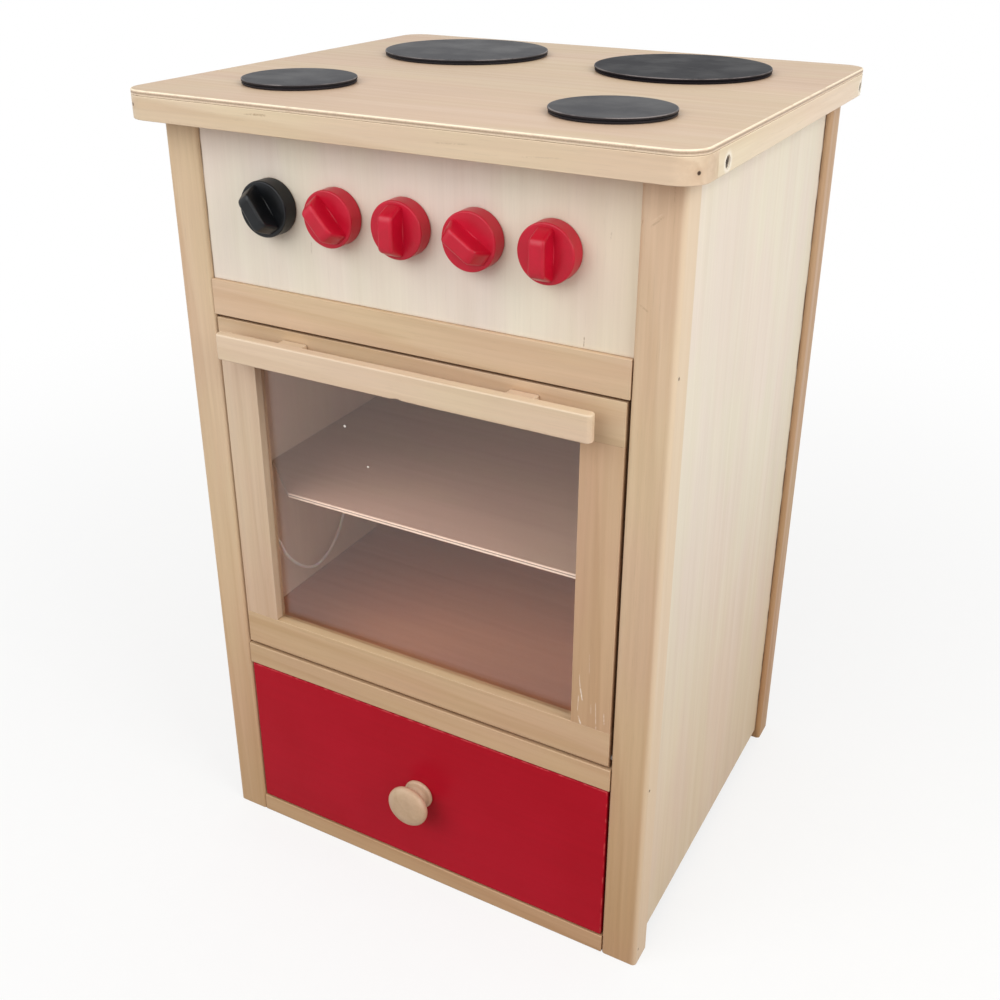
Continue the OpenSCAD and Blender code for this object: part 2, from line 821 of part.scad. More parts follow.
module drawer_right_side() color(pale_ply) drawer_side_right();
module drawer_left_side() color(pale_ply) mirror([1, 0, 0]) drawer_side_right();

module drawer_back() color(pale_ply) placed() difference() {
  translate([-drawer_side_x + drawer_board_t,
             drawer_box_y - drawer_board_t, drawer_box_z])
    cube([2 * (drawer_side_x - drawer_board_t), drawer_board_t, drawer_side_h]);
  drawer_bottom_space();
}

module drawer_bottom() color(pale_ply) placed() drawer_bottom_space();

// Turned knob: a flange on the drawer front, a neck and a mushroom head
module drawer_knob() color(light_wood) placed() difference() {
  translate([0, drawer_front_set, drawer_knob_z]) rotate([90, 0, 0])
    rotate_extrude($fn = 96) {
      r = drawer_knob_d / 2;
      l = drawer_knob_l;
      polygon([
        [0, 0], [12, 0], [12, 2.2], [11.2, 3.2], [8.6, 4], [7.4, 5.6],
        [7, 7.6], [7.6, 9.6], [10, 11.2], [r - 2.6, l - 8.6],
        [r - 0.6, l - 7.2], [r, l - 5.6], [r - 0.2, l - 3.8], [r - 1.4, l - 2.2],
        [r - 4, l - 1], [r - 8, l - 0.3], [0, l]
      ]);
    }
  drawer_screw_shape();
}

module drawer_knob_screw() color(steel) placed() drawer_screw_shape();

// Runners: a ledge under each drawer side and a guide beside it
module drawer_runners() color(light_wood) placed() both_sides() {
  guide_x = drawer_side_x + drawer_guide_gap;
  runner_l = rear_post_y - runner_front_y;
  translate([guide_x - runner_shelf, runner_front_y, runner_top - runner_base_t])
    cube([runner_shelf + runner_guide_t, runner_l, runner_base_t]);
  translate([guide_x, runner_front_y, runner_top - 1])
    cube([runner_guide_t, runner_l, runner_guide_h]);
}

front_left_post();
front_right_post();
rear_left_post();
rear_right_post();
left_side_panel();
right_side_panel();
back_panel();
control_panel();
control_panel_cleats();
control_rail();
middle_rail();
bottom_rail();
oven_floor();
oven_ceiling();
shelf();
floor_cleats();
shelf_cleats();
ceiling_cleats();
top_front_rail();
top_rear_rail();
top_left_rail();
top_right_rail();
top_sheet();
top_fixing_blocks();
top_rail_screws();
post_nails();
front_left_plate();
front_right_plate();
rear_left_plate();
rear_right_plate();
knob_1();
knob_2();
knob_3();
knob_4();
knob_5();
door_top_rail();
door_bottom_rail();
door_left_stile();
door_right_stile();
door_dowels();
window_pane();
handle_bar();
handle_standoffs();
handle_screws();
door_hinge_pins();
catch_magnet();
catch_strike_plate();
stay_cord();
stay_wall_screw();
stay_door_screw();
drawer_front();
drawer_left_side();
drawer_right_side();
drawer_back();
drawer_bottom();
drawer_knob();
drawer_knob_screw();
drawer_runners();
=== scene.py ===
"""Looks of a wooden toy cooker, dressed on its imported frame. Lengths are in metres."""
import json
import math

import bmesh
import bpy
from mathutils import Matrix, Vector, noise


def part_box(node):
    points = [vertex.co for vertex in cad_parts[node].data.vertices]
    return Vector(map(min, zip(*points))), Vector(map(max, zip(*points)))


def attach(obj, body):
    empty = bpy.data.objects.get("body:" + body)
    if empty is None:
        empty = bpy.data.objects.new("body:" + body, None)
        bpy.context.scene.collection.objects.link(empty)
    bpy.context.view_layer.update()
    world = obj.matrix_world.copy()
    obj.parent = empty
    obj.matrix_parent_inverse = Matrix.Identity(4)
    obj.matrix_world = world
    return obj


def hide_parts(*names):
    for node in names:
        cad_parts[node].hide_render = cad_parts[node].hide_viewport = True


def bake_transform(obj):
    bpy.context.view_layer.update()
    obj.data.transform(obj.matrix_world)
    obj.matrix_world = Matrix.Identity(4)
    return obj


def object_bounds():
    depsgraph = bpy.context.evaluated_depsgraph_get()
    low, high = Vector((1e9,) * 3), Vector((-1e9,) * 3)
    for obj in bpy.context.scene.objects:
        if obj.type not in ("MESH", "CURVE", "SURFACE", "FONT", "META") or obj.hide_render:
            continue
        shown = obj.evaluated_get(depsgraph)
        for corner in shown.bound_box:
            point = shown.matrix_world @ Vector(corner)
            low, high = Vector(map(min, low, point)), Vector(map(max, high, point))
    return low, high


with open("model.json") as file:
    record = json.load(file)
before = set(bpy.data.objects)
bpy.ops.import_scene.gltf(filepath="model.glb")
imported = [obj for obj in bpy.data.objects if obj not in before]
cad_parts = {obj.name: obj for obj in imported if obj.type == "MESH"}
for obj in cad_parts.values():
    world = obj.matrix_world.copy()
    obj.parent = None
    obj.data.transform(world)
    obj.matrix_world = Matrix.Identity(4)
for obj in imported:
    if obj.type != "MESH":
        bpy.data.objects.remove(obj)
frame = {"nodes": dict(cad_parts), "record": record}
cad_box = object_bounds()

MM = 0.001
FRONT_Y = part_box("front_left_post")[0].y  # plane of the front posts' faces
NODE_BODY = {
    node: body
    for body, nodes in frame["record"]["behaviour"]["bodies"].items()
    for node in nodes
}


def from_front(x, y, z):
    """A point in metres from millimetres measured from the front posts' faces."""
    return Vector((x * MM, FRONT_Y + y * MM, z * MM))


# Camera


def make_camera():
    """The photograph's view: place, turn, tilt, roll and lens."""
    place = from_front(400.16, -598.37, 724.96)
    turn, tilt, roll = (math.radians(v) for v in (28.45, 25.25, 0.31))
    focal_px, centre_px, image_px = 1191.56, (507.38, 439.84), 1000
    back = Vector((
        math.sin(turn) * math.cos(tilt),
        -math.cos(turn) * math.cos(tilt),
        math.sin(tilt),
    ))
    right = Vector((0, 0, 1)).cross(back).normalized()
    up = back.cross(right)
    right, up = (
        math.cos(roll) * right + math.sin(roll) * up,
        math.cos(roll) * up - math.sin(roll) * right,
    )
    data = bpy.data.cameras.new("camera")
    data.sensor_width = 36
    data.lens = focal_px * data.sensor_width / image_px
    data.shift_x = (image_px / 2 - centre_px[0]) / image_px
    data.shift_y = (centre_px[1] - image_px / 2) / image_px
    camera = bpy.data.objects.new("camera", data)
    camera.matrix_world = Matrix.Translation(place) @ (
        Matrix((right, up, back)).transposed().to_4x4()
    )
    bpy.context.scene.collection.objects.link(camera)
    bpy.context.scene.camera = camera


make_camera()


# Building blocks for materials

SEED_STEP = (1.71, 2.93, 3.47)  # how far one more on a seed moves the patterns


def new_material(name):
    material = bpy.data.materials.new(name)
    material.use_nodes = True
    material.node_tree.nodes.clear()
    return material, material.node_tree


def add(tree, kind, inputs=None, **settings):
    """A new shader node, its settings, and its inputs as values or sockets."""
    node = tree.nodes.new("ShaderNode" + kind)
    for key, value in settings.items():
        setattr(node, key, value)
    for key, value in (inputs or {}).items():
        if isinstance(value, bpy.types.NodeSocket):
            tree.links.new(value, node.inputs[key])
        else:
            node.inputs[key].default_value = value
    return node


def calc(tree, operation, *values, clamp=False):
    inputs = dict(enumerate(values))
    return add(tree, "Math", inputs, operation=operation, use_clamp=clamp).outputs[0]


def times(tree, a, b):
    return calc(tree, "MULTIPLY", a, b)


def vector_calc(tree, operation, *values, output=0):
    inputs = dict(enumerate(values))
    return add(tree, "VectorMath", inputs, operation=operation).outputs[output]


def rise(tree, value, low, high, start=0.0, end=1.0):
    """Goes smoothly from start to end as value goes from low to high, and stays there."""
    inputs = {"Value": value, "From Min": low, "From Max": high, "To Min": start, "To Max": end}
    return add(tree, "MapRange", inputs, interpolation_type="SMOOTHSTEP").outputs[0]


def spread(tree, pattern, start=0.0, end=1.0):
    """Noise, which is mostly between 0.3 and 0.7, widened to go from start to end."""
    return rise(tree, pattern, 0.3, 0.7, start, end)


def ramp(tree, value, stops, sharp=False):
    """Grey levels or colours along value."""
    node = add(tree, "ValToRGB", {0: value})
    band = node.color_ramp
    band.interpolation = "CONSTANT" if sharp else "LINEAR"
    while len(band.elements) < len(stops):
        band.elements.new(0.5)
    for element, (place, colour) in zip(band.elements, stops):
        element.position = place
        element.color = colour if isinstance(colour, tuple) else (colour, colour, colour, 1)
    return node.outputs[0]


def mix(tree, share, a, b, blend="MIX"):
    inputs = {0: share, 6: a, 7: b}
    return add(tree, "Mix", inputs, data_type="RGBA", blend_type=blend).outputs[2]


def tint(tree, colour, by):
    """The colour multiplied by another one."""
    return mix(tree, 1.0, colour, by, "MULTIPLY")


def shade(tree, colour, factor):
    """The colour, lighter or darker by a factor that may vary."""
    return tint(tree, colour, add(tree, "CombineColor", {k: factor for k in range(3)}).outputs[0])


def part_of(tree, vector, axis):
    """One coordinate of a vector."""
    return add(tree, "SeparateXYZ", {0: vector}).outputs[axis]


def cloud(tree, vector, scale, detail=3.0, roughness=0.55):
    inputs = {"Vector": vector, "Scale": scale, "Detail": detail, "Roughness": roughness}
    return add(tree, "TexNoise", inputs).outputs[0]


def stretch(tree, vector, axis, along):
    """Coordinates shortened along one axis, so that a pattern runs that way."""
    scale = [1.0, 1.0, 1.0]
    scale[axis] = along
    return add(tree, "Mapping", {"Vector": vector, "Scale": scale}).outputs[0]


def place_of(tree):
    """The point on the piece, the same point shifted by the piece's own seed, and its normal."""
    coords = add(tree, "TexCoord")
    seed = add(tree, "Attribute", attribute_type="OBJECT", attribute_name="seed")
    inputs = {0: SEED_STEP, "Scale": seed.outputs["Fac"]}
    shift = add(tree, "VectorMath", inputs, operation="SCALE").outputs[0]
    point, normal = coords.outputs["Object"], coords.outputs["Normal"]
    return point, vector_calc(tree, "ADD", point, shift), normal


def edge_share(tree):
    """1 on the rounded edges of a board, 0 on its faces."""
    return add(tree, "Attribute", attribute_name="edge").outputs["Fac"]


def wear_and_highlight_edges(tree, colour, moved, edge_tone, share, scale, low, high, detail=3, least=0.0):
    """The colour with its rounded edges lightened in patches: worn on lacquer and paint, and a
    painted highlight on wood and plastic.
    """
    patches = rise(tree, cloud(tree, moved, scale, detail), low, high, least, 1.0)
    edge_part = times(tree, edge_share(tree), patches)
    return mix(tree, times(tree, edge_part, share), colour, edge_tone)


def finish_material(tree, **inputs):
    """Ends the material in one Principled shader, with names as keywords."""
    named = {key.replace("_", " "): value for key, value in inputs.items()}
    shader = add(tree, "BsdfPrincipled", named)
    add(tree, "OutputMaterial", {"Surface": shader.outputs[0]})


def finish_mixed(tree, share, first, second, output="OutputMaterial"):
    """Ends the tree in a mix of two shaders."""
    both = add(tree, "MixShader", {0: share, 1: first.outputs[0], 2: second.outputs[0]})
    add(tree, output, {"Surface": both.outputs[0]})


def bump(tree, height, strength, distance):
    inputs = {"Height": height, "Strength": strength, "Distance": distance}
    return add(tree, "Bump", inputs).outputs[0]


def srgb(red, green, blue):
    """A colour read in 0 to 255 steps, as the linear value that shaders take."""
    def linear(step):
        v = step / 255
        return v / 12.92 if v <= 0.04045 else ((v + 0.055) / 1.055) ** 2.4
    return (linear(red), linear(green), linear(blue), 1.0)


def scaled(colour, factor, lift=0.0):
    """A fixed colour, darker or lighter."""
    return (*(min(1.0, factor * v + lift) for v in colour[:3]), 1.0)


# Wood

X, Y, Z = 0, 1, 2
WHITE = (1.0, 1.0, 1.0, 1.0)
LOW_SHADE = (0.87, 0.77, 0.66, 1)  # painted shade: what the wood is multiplied by near the floor, where the light falls off
LOW_SHADE_TOP = 0.4  # height at which that painted shade ends
GAP_SHADE = (0.34, 0.15, 0.06, 1)  # painted shade: what faces in narrow gaps are multiplied by
GAP_REACH = 4 * MM  # how close another face has to be for that


def wood(
    name, tones, axis, lines=0.5, plies=None, marks=None, gloss=0.42,
    rim=None, rim_share=0.35, contrast=0.8, veneer=None,
):
    """Lacquered wood with its grain along one axis, between a light and a dark tone.
    plies is (axis, low, high) of a plywood sheet, whose edges show the veneers. marks
    adds faults to the colour, rim is the colour that the rounded edges turn to, and
    veneer the outer plies' colour."""
    light, dark = tones
    material, tree = new_material(name)
    point, moved, normal = place_of(tree)
    blotches = cloud(tree, stretch(tree, moved, axis, 0.3), 11, 3)
    long_point = stretch(tree, moved, axis, 0.05)
    warp = cloud(tree, long_point, 22, 3)
    rings = add(
        tree, "TexWave",
        {
            "Vector": long_point, "Scale": 30.0, "Distortion": 6.0, "Detail": 3.0,
            "Detail Scale": 0.9, "Detail Roughness": 0.6,
        },
        wave_type="BANDS", bands_direction="DIAGONAL", wave_profile="SAW",
    ).outputs[1]
    fibre = cloud(tree, stretch(tree, moved, axis, 0.025), 420, 5, 0.65)
    streaks = cloud(tree, stretch(tree, moved, axis, 0.02), 150, 4, 0.6)
    pores = rise(tree, cloud(tree, stretch(tree, moved, axis, 0.035), 1500, 2), 0.6, 0.72)
    late_wood = ramp(tree, rings, [(0.0, 0.2), (0.6, 0.4), (0.9, 0.75), (1.0, 0.25)])
    tone = mix(tree, lines, (0.5, 0.5, 0.5, 1.0), late_wood)
    drift = 0.18 * contrast
    for pattern in (streaks, warp):
        tone = calc(tree, "ADD", tone, rise(tree, pattern, 0.25, 0.75, -drift, drift))
    colour = mix(tree, calc(tree, "ADD", tone, 0.0, clamp=True), light, dark)
    colour = shade(tree, colour, rise(tree, blotches, 0.25, 0.75, 0.965, 1.03))
    hue = cloud(tree, stretch(tree, moved, axis, 0.35), 19, 2)
    hue = mix(tree, rise(tree, hue, 0.35, 0.65), (1.0, 1.0, 0.94, 1), (1.0, 0.955, 0.945, 1))
    colour = tint(tree, colour, hue)
    # Painted shade: the wood turns darker and warmer towards the floor.
    low_down = rise(tree, part_of(tree, point, Z), LOW_SHADE_TOP, 0.0)
    colour = tint(tree, colour, mix(tree, low_down, WHITE, LOW_SHADE))
    fine = 0.03 * contrast
    colour = shade(tree, colour, spread(tree, fibre, 1 - fine, 1 + fine))
    colour = shade(tree, colour, rise(tree, pores, 0.0, 1.0, 1.0, 1 - 2.5 * fine))
    # Painted highlight, with some wear: the rounded edges lightened in patches.
    colour = wear_and_highlight_edges(tree, colour, moved, rim or light, rim_share, 90, 0.3, 0.5, least=0.5)
    if plies:
        colour = ply_edges(tree, colour, veneer or light, dark, point, normal, *plies)
    if marks:
        colour = marks(tree, colour, point)
    # Painted shade: faces close to other faces, in gaps and crevices, turn darker and browner.
    open_air = add(tree, "AmbientOcclusion", {"Distance": GAP_REACH}, samples=4).outputs["AO"]
    colour = tint(tree, colour, mix(tree, rise(tree, open_air, 0.05, 0.42), GAP_SHADE, WHITE))
    height = calc(tree, "ADD", times(tree, fibre, 0.7), streaks)
    height = calc(tree, "SUBTRACT", height, times(tree, pores, 0.5))
    finish_material(
        tree, Base_Color=colour, Roughness=spread(tree, streaks, gloss, gloss + 0.16),
        Normal=bump(tree, height, 0.25, 0.12 * MM), Specular_IOR_Level=0.28,
        Coat_Weight=0.05, Coat_Roughness=0.3,
    )
    return material


def ply_edges(tree, colour, light, dark, point, normal, axis, low, high):
    """The veneers on the edges of a plywood sheet between low and high on axis."""
    edge = rise(tree, calc(tree, "ABSOLUTE", part_of(tree, normal, axis)), 0.75, 0.6)
    core, glue = scaled(dark, 0.82), scaled(dark, 0.45)
    layers = [(0.0, light), (0.34, glue), (0.38, core), (0.62, glue), (0.66, light)]
    depth = rise(tree, part_of(tree, point, axis), low, high)
    veneers = ramp(tree, depth, layers, sharp=True)
    grained = shade(tree, veneers, spread(tree, cloud(tree, point, 900, 2), 0.9, 1.06))
    edge = times(tree, edge, calc(tree, "SUBTRACT", 1.0, edge_share(tree)))
    return mix(tree, edge, colour, grained)


def near(tree, point, centre, radius, soft=0.3):
    """1 within radius of a centre, 0 outside."""
    away = vector_calc(tree, "SUBTRACT", point, tuple(centre))
    length = vector_calc(tree, "LENGTH", away, output="Value")
    return rise(tree, length, radius * (1 + soft), radius * (1 - soft))


# The light and the dark tone of each wood
PINE = srgb(222, 199, 170), srgb(196, 165, 131)
REAR_POST = srgb(206, 177, 144), srgb(180, 145, 108)
DOOR_STILE = srgb(222, 203, 180), srgb(196, 170, 142)
MARKED_STILE = srgb(212, 182, 152), srgb(187, 150, 117)
TOP_RAIL = srgb(226, 208, 182), srgb(202, 177, 147)
TOP_SIDE = srgb(240, 226, 204), srgb(218, 198, 170)
HANDLE = srgb(228, 209, 184), srgb(206, 181, 152)
TURNED = srgb(218, 200, 182), srgb(195, 172, 150)
TOP_PLY = srgb(213, 189, 164), srgb(196, 170, 143)
PLY = srgb(238, 232, 222), srgb(220, 210, 196)
LEFT_PLY = srgb(247, 236, 225), srgb(234, 217, 201)
RIGHT_PLY = srgb(245, 239, 226), srgb(228, 218, 201)
CONTROL_PLY = srgb(238, 231, 219), srgb(220, 208, 192)
OVEN_PLY = srgb(213, 157, 129), srgb(186, 131, 104)
SHELF_PLY = srgb(209, 188, 173), srgb(190, 166, 151)
OVEN_VENEER = srgb(250, 238, 222)
# Painted highlight for the top sheet's rounded edge
EDGE_HIGHLIGHT = srgb(252, 236, 208)


# Building blocks for pieces

SHARP_ANGLE = 35  # degrees: an edge that turns more is sharp
FLAT_ANGLE = 0.4  # degrees: faces that turn less are one face
WELD = 0.002 * MM  # vertices closer than this are one
Z_TO_FRONT = Matrix.Rotation(math.radians(90), 4, "X")


def link(name, mesh, material):
    piece = bpy.data.objects.new(name, mesh)
    bpy.context.scene.collection.objects.link(piece)
    mesh.materials.clear()
    mesh.materials.append(material)
    return piece


def seat(piece, node):
    """The piece stands for a node, and takes its body."""
    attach(piece, NODE_BODY[node])
    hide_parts(node)
    piece["seed"] = float(sum(map(ord, node)) % 17)


def smooth(mesh, angle=SHARP_ANGLE):
    for polygon in mesh.polygons:
        polygon.use_smooth = True
    mesh.set_sharp_from_angle(angle=math.radians(angle))


def even_normals(piece):
    """Flat faces shade flat, and only the rounded edges turn the light."""
    modifier = piece.modifiers.new("even_normals", "WEIGHTED_NORMAL")
    modifier.keep_sharp = True
    modifier.weight = 100


def soften(bm, radius, least, segments=2):
    """Rounds the sharp edges longer than least, and marks their faces as edge."""
    layer = bm.faces.layers.float.get("edge") or bm.faces.layers.float.new("edge")
    sharp = [
        edge
        for edge in bm.edges
        if len(edge.link_faces) == 2
        and edge.calc_face_angle() > math.radians(SHARP_ANGLE)
        and edge.calc_length() > least
    ]
    made = bmesh.ops.bevel(
        bm, geom=sharp, offset=radius, offset_type="OFFSET", segments=segments,
        profile=0.5, affect="EDGES", clamp_overlap=False,
    )
    for face in made["faces"]:
        face[layer] = 1.0


def clean_copy(node):
    """The CAD node's mesh, with its flat faces whole again."""
    bm = bmesh.new()
    bm.from_mesh(frame["nodes"][node].data)
    bmesh.ops.remove_doubles(bm, verts=bm.verts, dist=WELD)
    bmesh.ops.dissolve_limit(
        bm, angle_limit=math.radians(FLAT_ANGLE), verts=bm.verts, edges=bm.edges
    )
    return bm


def block(size, middle=(0, 0, 0)):
    """A box as a bmesh."""
    bm = bmesh.new()
    bmesh.ops.create_cube(bm, size=1.0)
    bmesh.ops.scale(bm, vec=size, verts=bm.verts)
    bmesh.ops.translate(bm, vec=middle, verts=bm.verts)
    return bm


def board(node, material, radius=0.6, least=2.0, segments=2, cut=None):
    """A wooden board in the shape of its node, with hand-sanded edges. radius and least
    are in millimetres. cut takes something more away first."""
    bm = clean_copy(node)
    if cut:
        bm = cut(bm)
    soften(bm, radius * MM, least * MM, segments)
    piece = mesh_piece("wooden_" + node, bm, material)
    even_normals(piece)
    seat(piece, node)


def on_face(node, outward):
    """The middle of the face of a node's box that looks outward along an axis."""
    low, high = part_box(node)
    axis = max((X, Y, Z), key=lambda a: abs(outward[a]))
    point = (low + high) / 2
    point[axis] = high[axis] if outward[axis] > 0 else low[axis]
    return point


def lathe(profile, steps):
    """A bmesh turned about Z from (radius, height) points; ends on the axis close it."""
    bm = bmesh.new()
    rings = []
    for radius, height in profile:
        turns = [2 * math.pi * k / steps for k in range(steps if radius else 1)]
        rings.append([
            bm.verts.new((radius * math.cos(a), radius * math.sin(a), height)) for a in turns
        ])
    for low, high in zip(rings, rings[1:]):
        for k in range(steps):
            corners = [low[k % len(low)], low[(k + 1) % len(low)]]
            corners += [high[(k + 1) % len(high)], high[k % len(high)]]
            bm.faces.new(list(dict.fromkeys(corners)))  # a point on the axis counts once
    bmesh.ops.recalc_face_normals(bm, faces=bm.faces)
    return bm


def in_metres(profile):
    """A profile given in millimetres."""
    return [(radius * MM, height * MM) for radius, height in profile]


def skin(bm, rings):
    """Faces between rings of as many vertices each, and over both ends."""
    for low, high in zip(rings, rings[1:]):
        for k in range(len(low)):
            after = (k + 1) % len(low)
            bm.faces.new((low[k], low[after], high[after], high[k]))
    bm.faces.new(rings[0])
    bm.faces.new(rings[-1])
    bmesh.ops.recalc_face_normals(bm, faces=bm.faces)


def rounded(points, radius, steps):
    """A profile whose corners become arcs, for lathe."""
    result = [Vector(points[0])]
    for before, corner, after in zip(points, points[1:], points[2:]):
        b, c, a = Vector(before), Vector(corner), Vector(after)
        reach = min(radius, (b - c).length * 0.45, (a - c).length * 0.45)
        start, end = c + (b - c).normalized() * reach, c + (a - c).normalized() * reach
        for k in range(steps + 1):
            t = k / steps
            result.append((1 - t) ** 2 * start + 2 * t * (1 - t) * c + t * t * end)
    result.append(Vector(points[-1]))
    return [tuple(p) for p in result]


def mesh_piece(name, bm, material, matrix=None, angle=SHARP_ANGLE):
    if matrix is not None:
        bmesh.ops.transform(bm, matrix=matrix, verts=bm.verts)
    mesh = bpy.data.meshes.new(name)
    bm.to_mesh(mesh)
    bm.free()
    smooth(mesh, angle)
    return link(name, mesh, material)


def joined(meshes):
    """Several bmeshes as one."""
    whole = bmesh.new()
    for bm in meshes:
        part = bpy.data.meshes.new("part")
        bm.to_mesh(part)
        bm.free()
        whole.from_mesh(part)
        bpy.data.meshes.remove(part)
    return whole


def cut_away(body, cutter):
    """What an exact boolean leaves of a closed bmesh outside another."""
    objects = []
    for bm in (body, cutter):
        mesh = bpy.data.meshes.new("part")
        bm.to_mesh(mesh)
        bm.free()
        part = bpy.data.objects.new("part", mesh)
        bpy.context.scene.collection.objects.link(part)
        objects.append(part)
    modifier = objects[0].modifiers.new("cut", "BOOLEAN")
    modifier.operation = "DIFFERENCE"
    modifier.solver = "EXACT"
    modifier.object = objects[1]
    bpy.context.view_layer.update()
    shape = objects[0].evaluated_get(bpy.context.evaluated_depsgraph_get())
    result = bmesh.new()
    result.from_mesh(shape.to_mesh())
    shape.to_mesh_clear()
    for part in objects:
        mesh = part.data
        bpy.data.objects.remove(part)
        bpy.data.meshes.remove(mesh)
    return result


# The door's stay cord

CORD_DIAMETER = 2.4 * MM
CORD_STRANDS = 3
CORD_GROOVE = 0.18  # depth of the grooves between them, as a share of the radius
CORD_TWIST = 9 * MM  # length of one turn of the strands
CORD_SIDES = 24
CORD_STEPS = 14  # from one of the points below to the next
CORD_POINTS = [
    (-141, 17.8, 290.2), (-142, 19, 281), (-143, 23, 270),
    (-145, 30, 258), (-148, 39, 245), (-151, 47, 232), (-155, 60, 217),
    (-158, 74, 204), (-161, 88, 194.5), (-164, 103, 189),
    (-167, 122, 190), (-169, 138, 198), (-171, 151, 211),
    (-172, 160, 227), (-173, 165, 243), (-173.6, 166, 257),
    (-173.6, 161.5, 271), (-173.6, 150.2, 279.7),
]


def curve_through(points, steps):
    """A smooth curve through the points, as in the part's source."""
    ends = [2 * points[0] - points[1], *points, 2 * points[-1] - points[-2]]
    result = []
    for a, b, c, d in zip(ends, ends[1:], ends[2:], ends[3:]):
        for k in range(steps):
            t = k / steps
            result.append(0.5 * (
                2 * b + (c - a) * t + (2 * a - 5 * b + 4 * c - d) * t * t
                + (3 * b - a - 3 * c + d) * t * t * t
            ))
    result.append(points[-1])
    return result


def cord_material():
    material, tree = new_material("stay_cord")
    _, moved, _ = place_of(tree)
    fuzz = cloud(tree, moved, 2500, 3)
    dust = cloud(tree, moved, 60, 2)
    colour = mix(tree, spread(tree, fuzz), srgb(246, 244, 238), srgb(255, 254, 250))
    colour = shade(tree, colour, spread(tree, dust, 0.93, 1.03))
    finish_material(
        tree, Base_Color=colour, Roughness=spread(tree, fuzz, 0.35, 0.5),
        Normal=bump(tree, fuzz, 0.2, 0.05 * MM), Sheen_Weight=0.6,
        Subsurface_Weight=0.5, Subsurface_Scale=2 * MM,
    )
    return material


def stay_cord():
    """A twisted cord: round on the whole, with the grooves between its strands."""
    path = curve_through([from_front(*p) for p in CORD_POINTS], CORD_STEPS)
    bm = bmesh.new()
    rings = []
    run = 0.0
    for i, centre in enumerate(path):
        before, after = path[max(i - 1, 0)], path[min(i + 1, len(path) - 1)]
        heading = (after - before).normalized()
        across = Vector((1, 0, 0)).cross(heading).normalized()
        other = heading.cross(across)
        if i:
            run += (centre - before).length
        turn = 2 * math.pi * run / CORD_TWIST
        ring = []
        for k in range(CORD_SIDES):
            angle = 2 * math.pi * k / CORD_SIDES
            lobe = abs(math.cos(CORD_STRANDS * (angle - turn) / 2))
            radius = CORD_DIAMETER / 2 * (1 - CORD_GROOVE + CORD_GROOVE * lobe ** 0.5)
            place = centre + radius * (across * math.cos(angle) + other * math.sin(angle))
            ring.append(bm.verts.new(place))
        rings.append(ring)
    skin(bm, rings)
    piece = mesh_piece("twisted_stay_cord", bm, cord_material(), angle=60)
    piece["seed"] = 1.0
    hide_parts("stay_cord")
    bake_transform(piece)


stay_cord()


# Boards of the carcass


def strokes(tree, colour, point, lines, scratch):
    """Thin scratches on the front, in the colour scratch. Each line is (x, z, x, z,
    width, strength), in millimetres."""
    flat = vector_calc(tree, "MULTIPLY", point, (1.0, 0.0, 1.0))
    chips = rise(tree, cloud(tree, point, 1100, 2), 0.35, 0.55)
    for x0, z0, x1, z1, width, strength in lines:
        start = Vector((x0, 0, z0)) * MM
        run = Vector((x1, 0, z1)) * MM - start
        away = vector_calc(tree, "SUBTRACT", flat, tuple(start))
        step = tuple(run / run.length_squared)
        along = vector_calc(tree, "DOT_PRODUCT", away, step, output="Value")
        along = calc(tree, "ADD", along, 0.0, clamp=True)
        reach = add(tree, "VectorMath", {0: tuple(run), "Scale": along}, operation="SCALE")
        gap = vector_calc(tree, "DISTANCE", away, reach.outputs[0], output="Value")
        ends = times(tree, along, calc(tree, "SUBTRACT", 1.0, along))
        share = rise(tree, gap, width * MM * 0.6, width * MM * 0.25)
        for factor in (rise(tree, ends, 0.0, 0.12, 0.3, 1.0), chips, strength):
            share = times(tree, share, factor)
        colour = mix(tree, share, colour, scratch)
    return colour


def right_stile_marks(tree, colour, point):
    """Scratches near the stile's foot, where toys have struck it."""
    lines = [
        (131.6, 243, 132.6, 233, 0.7, 0.7), (132.6, 233, 134.5, 223, 0.9, 0.95),
        (131.6, 226, 131.3, 213, 0.7, 0.75), (131.9, 209, 133.9, 203, 1.1, 0.8),
        (144.3, 224.5, 145.4, 202, 0.6, 0.6), (150.6, 217.8, 151.2, 209, 0.7, 0.6),
        (141.0, 222, 141.2, 214, 0.6, 0.3), (138.5, 262, 138.9, 246, 0.6, 0.2),
    ]
    return strokes(tree, colour, point, lines, srgb(246, 238, 224))


def right_post_marks(tree, colour, point):
    """Pale sapwood along the outer edge, and dents high on the post drawn as pale strokes, their
    painted highlight, and dark strokes, their painted shade.
    """
    sapwood = rise(tree, part_of(tree, point, X), 180 * MM, 186.5 * MM, 0.0, 0.75)
    colour = mix(tree, sapwood, colour, srgb(240, 222, 194))
    # Painted highlight and painted shade of the dents
    pale = [(157.2, 551, 158.2, 555, 1.2, 0.45), (165, 556, 171, 561, 0.9, 0.25)]
    dark = [
        (158.4, 552.5, 159.4, 556, 1.0, 0.5), (164.4, 552.9, 171.6, 559.3, 1.2, 0.3),
        (160.5, 507.5, 165.6, 504.2, 1.2, 0.3), (177, 566, 177, 580, 0.9, 0.25),
    ]
    colour = strokes(tree, colour, point, pale, srgb(238, 218, 190))
    return strokes(tree, colour, point, dark, srgb(150, 118, 92))


def gap_shadow_line(tree, colour, point, axis, plane, width):
    """A painted shadow line where a sheet enters a post's groove, on both sides of a plane."""
    away = calc(tree, "ABSOLUTE", calc(tree, "SUBTRACT", part_of(tree, point, axis), plane))
    broken = rise(tree, cloud(tree, point, 60, 2), 0.35, 0.6, 0.35, 0.85)
    share = times(tree, rise(tree, away, width, width / 2), broken)
    return mix(tree, share, colour, srgb(112, 84, 60))


def side_panel_marks(tree, colour, point):
    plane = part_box("rear_right_post")[0].y
    # Painted shadow of the gap at the rear post
    return gap_shadow_line(tree, colour, point, Y, plane, 3.2 * MM)


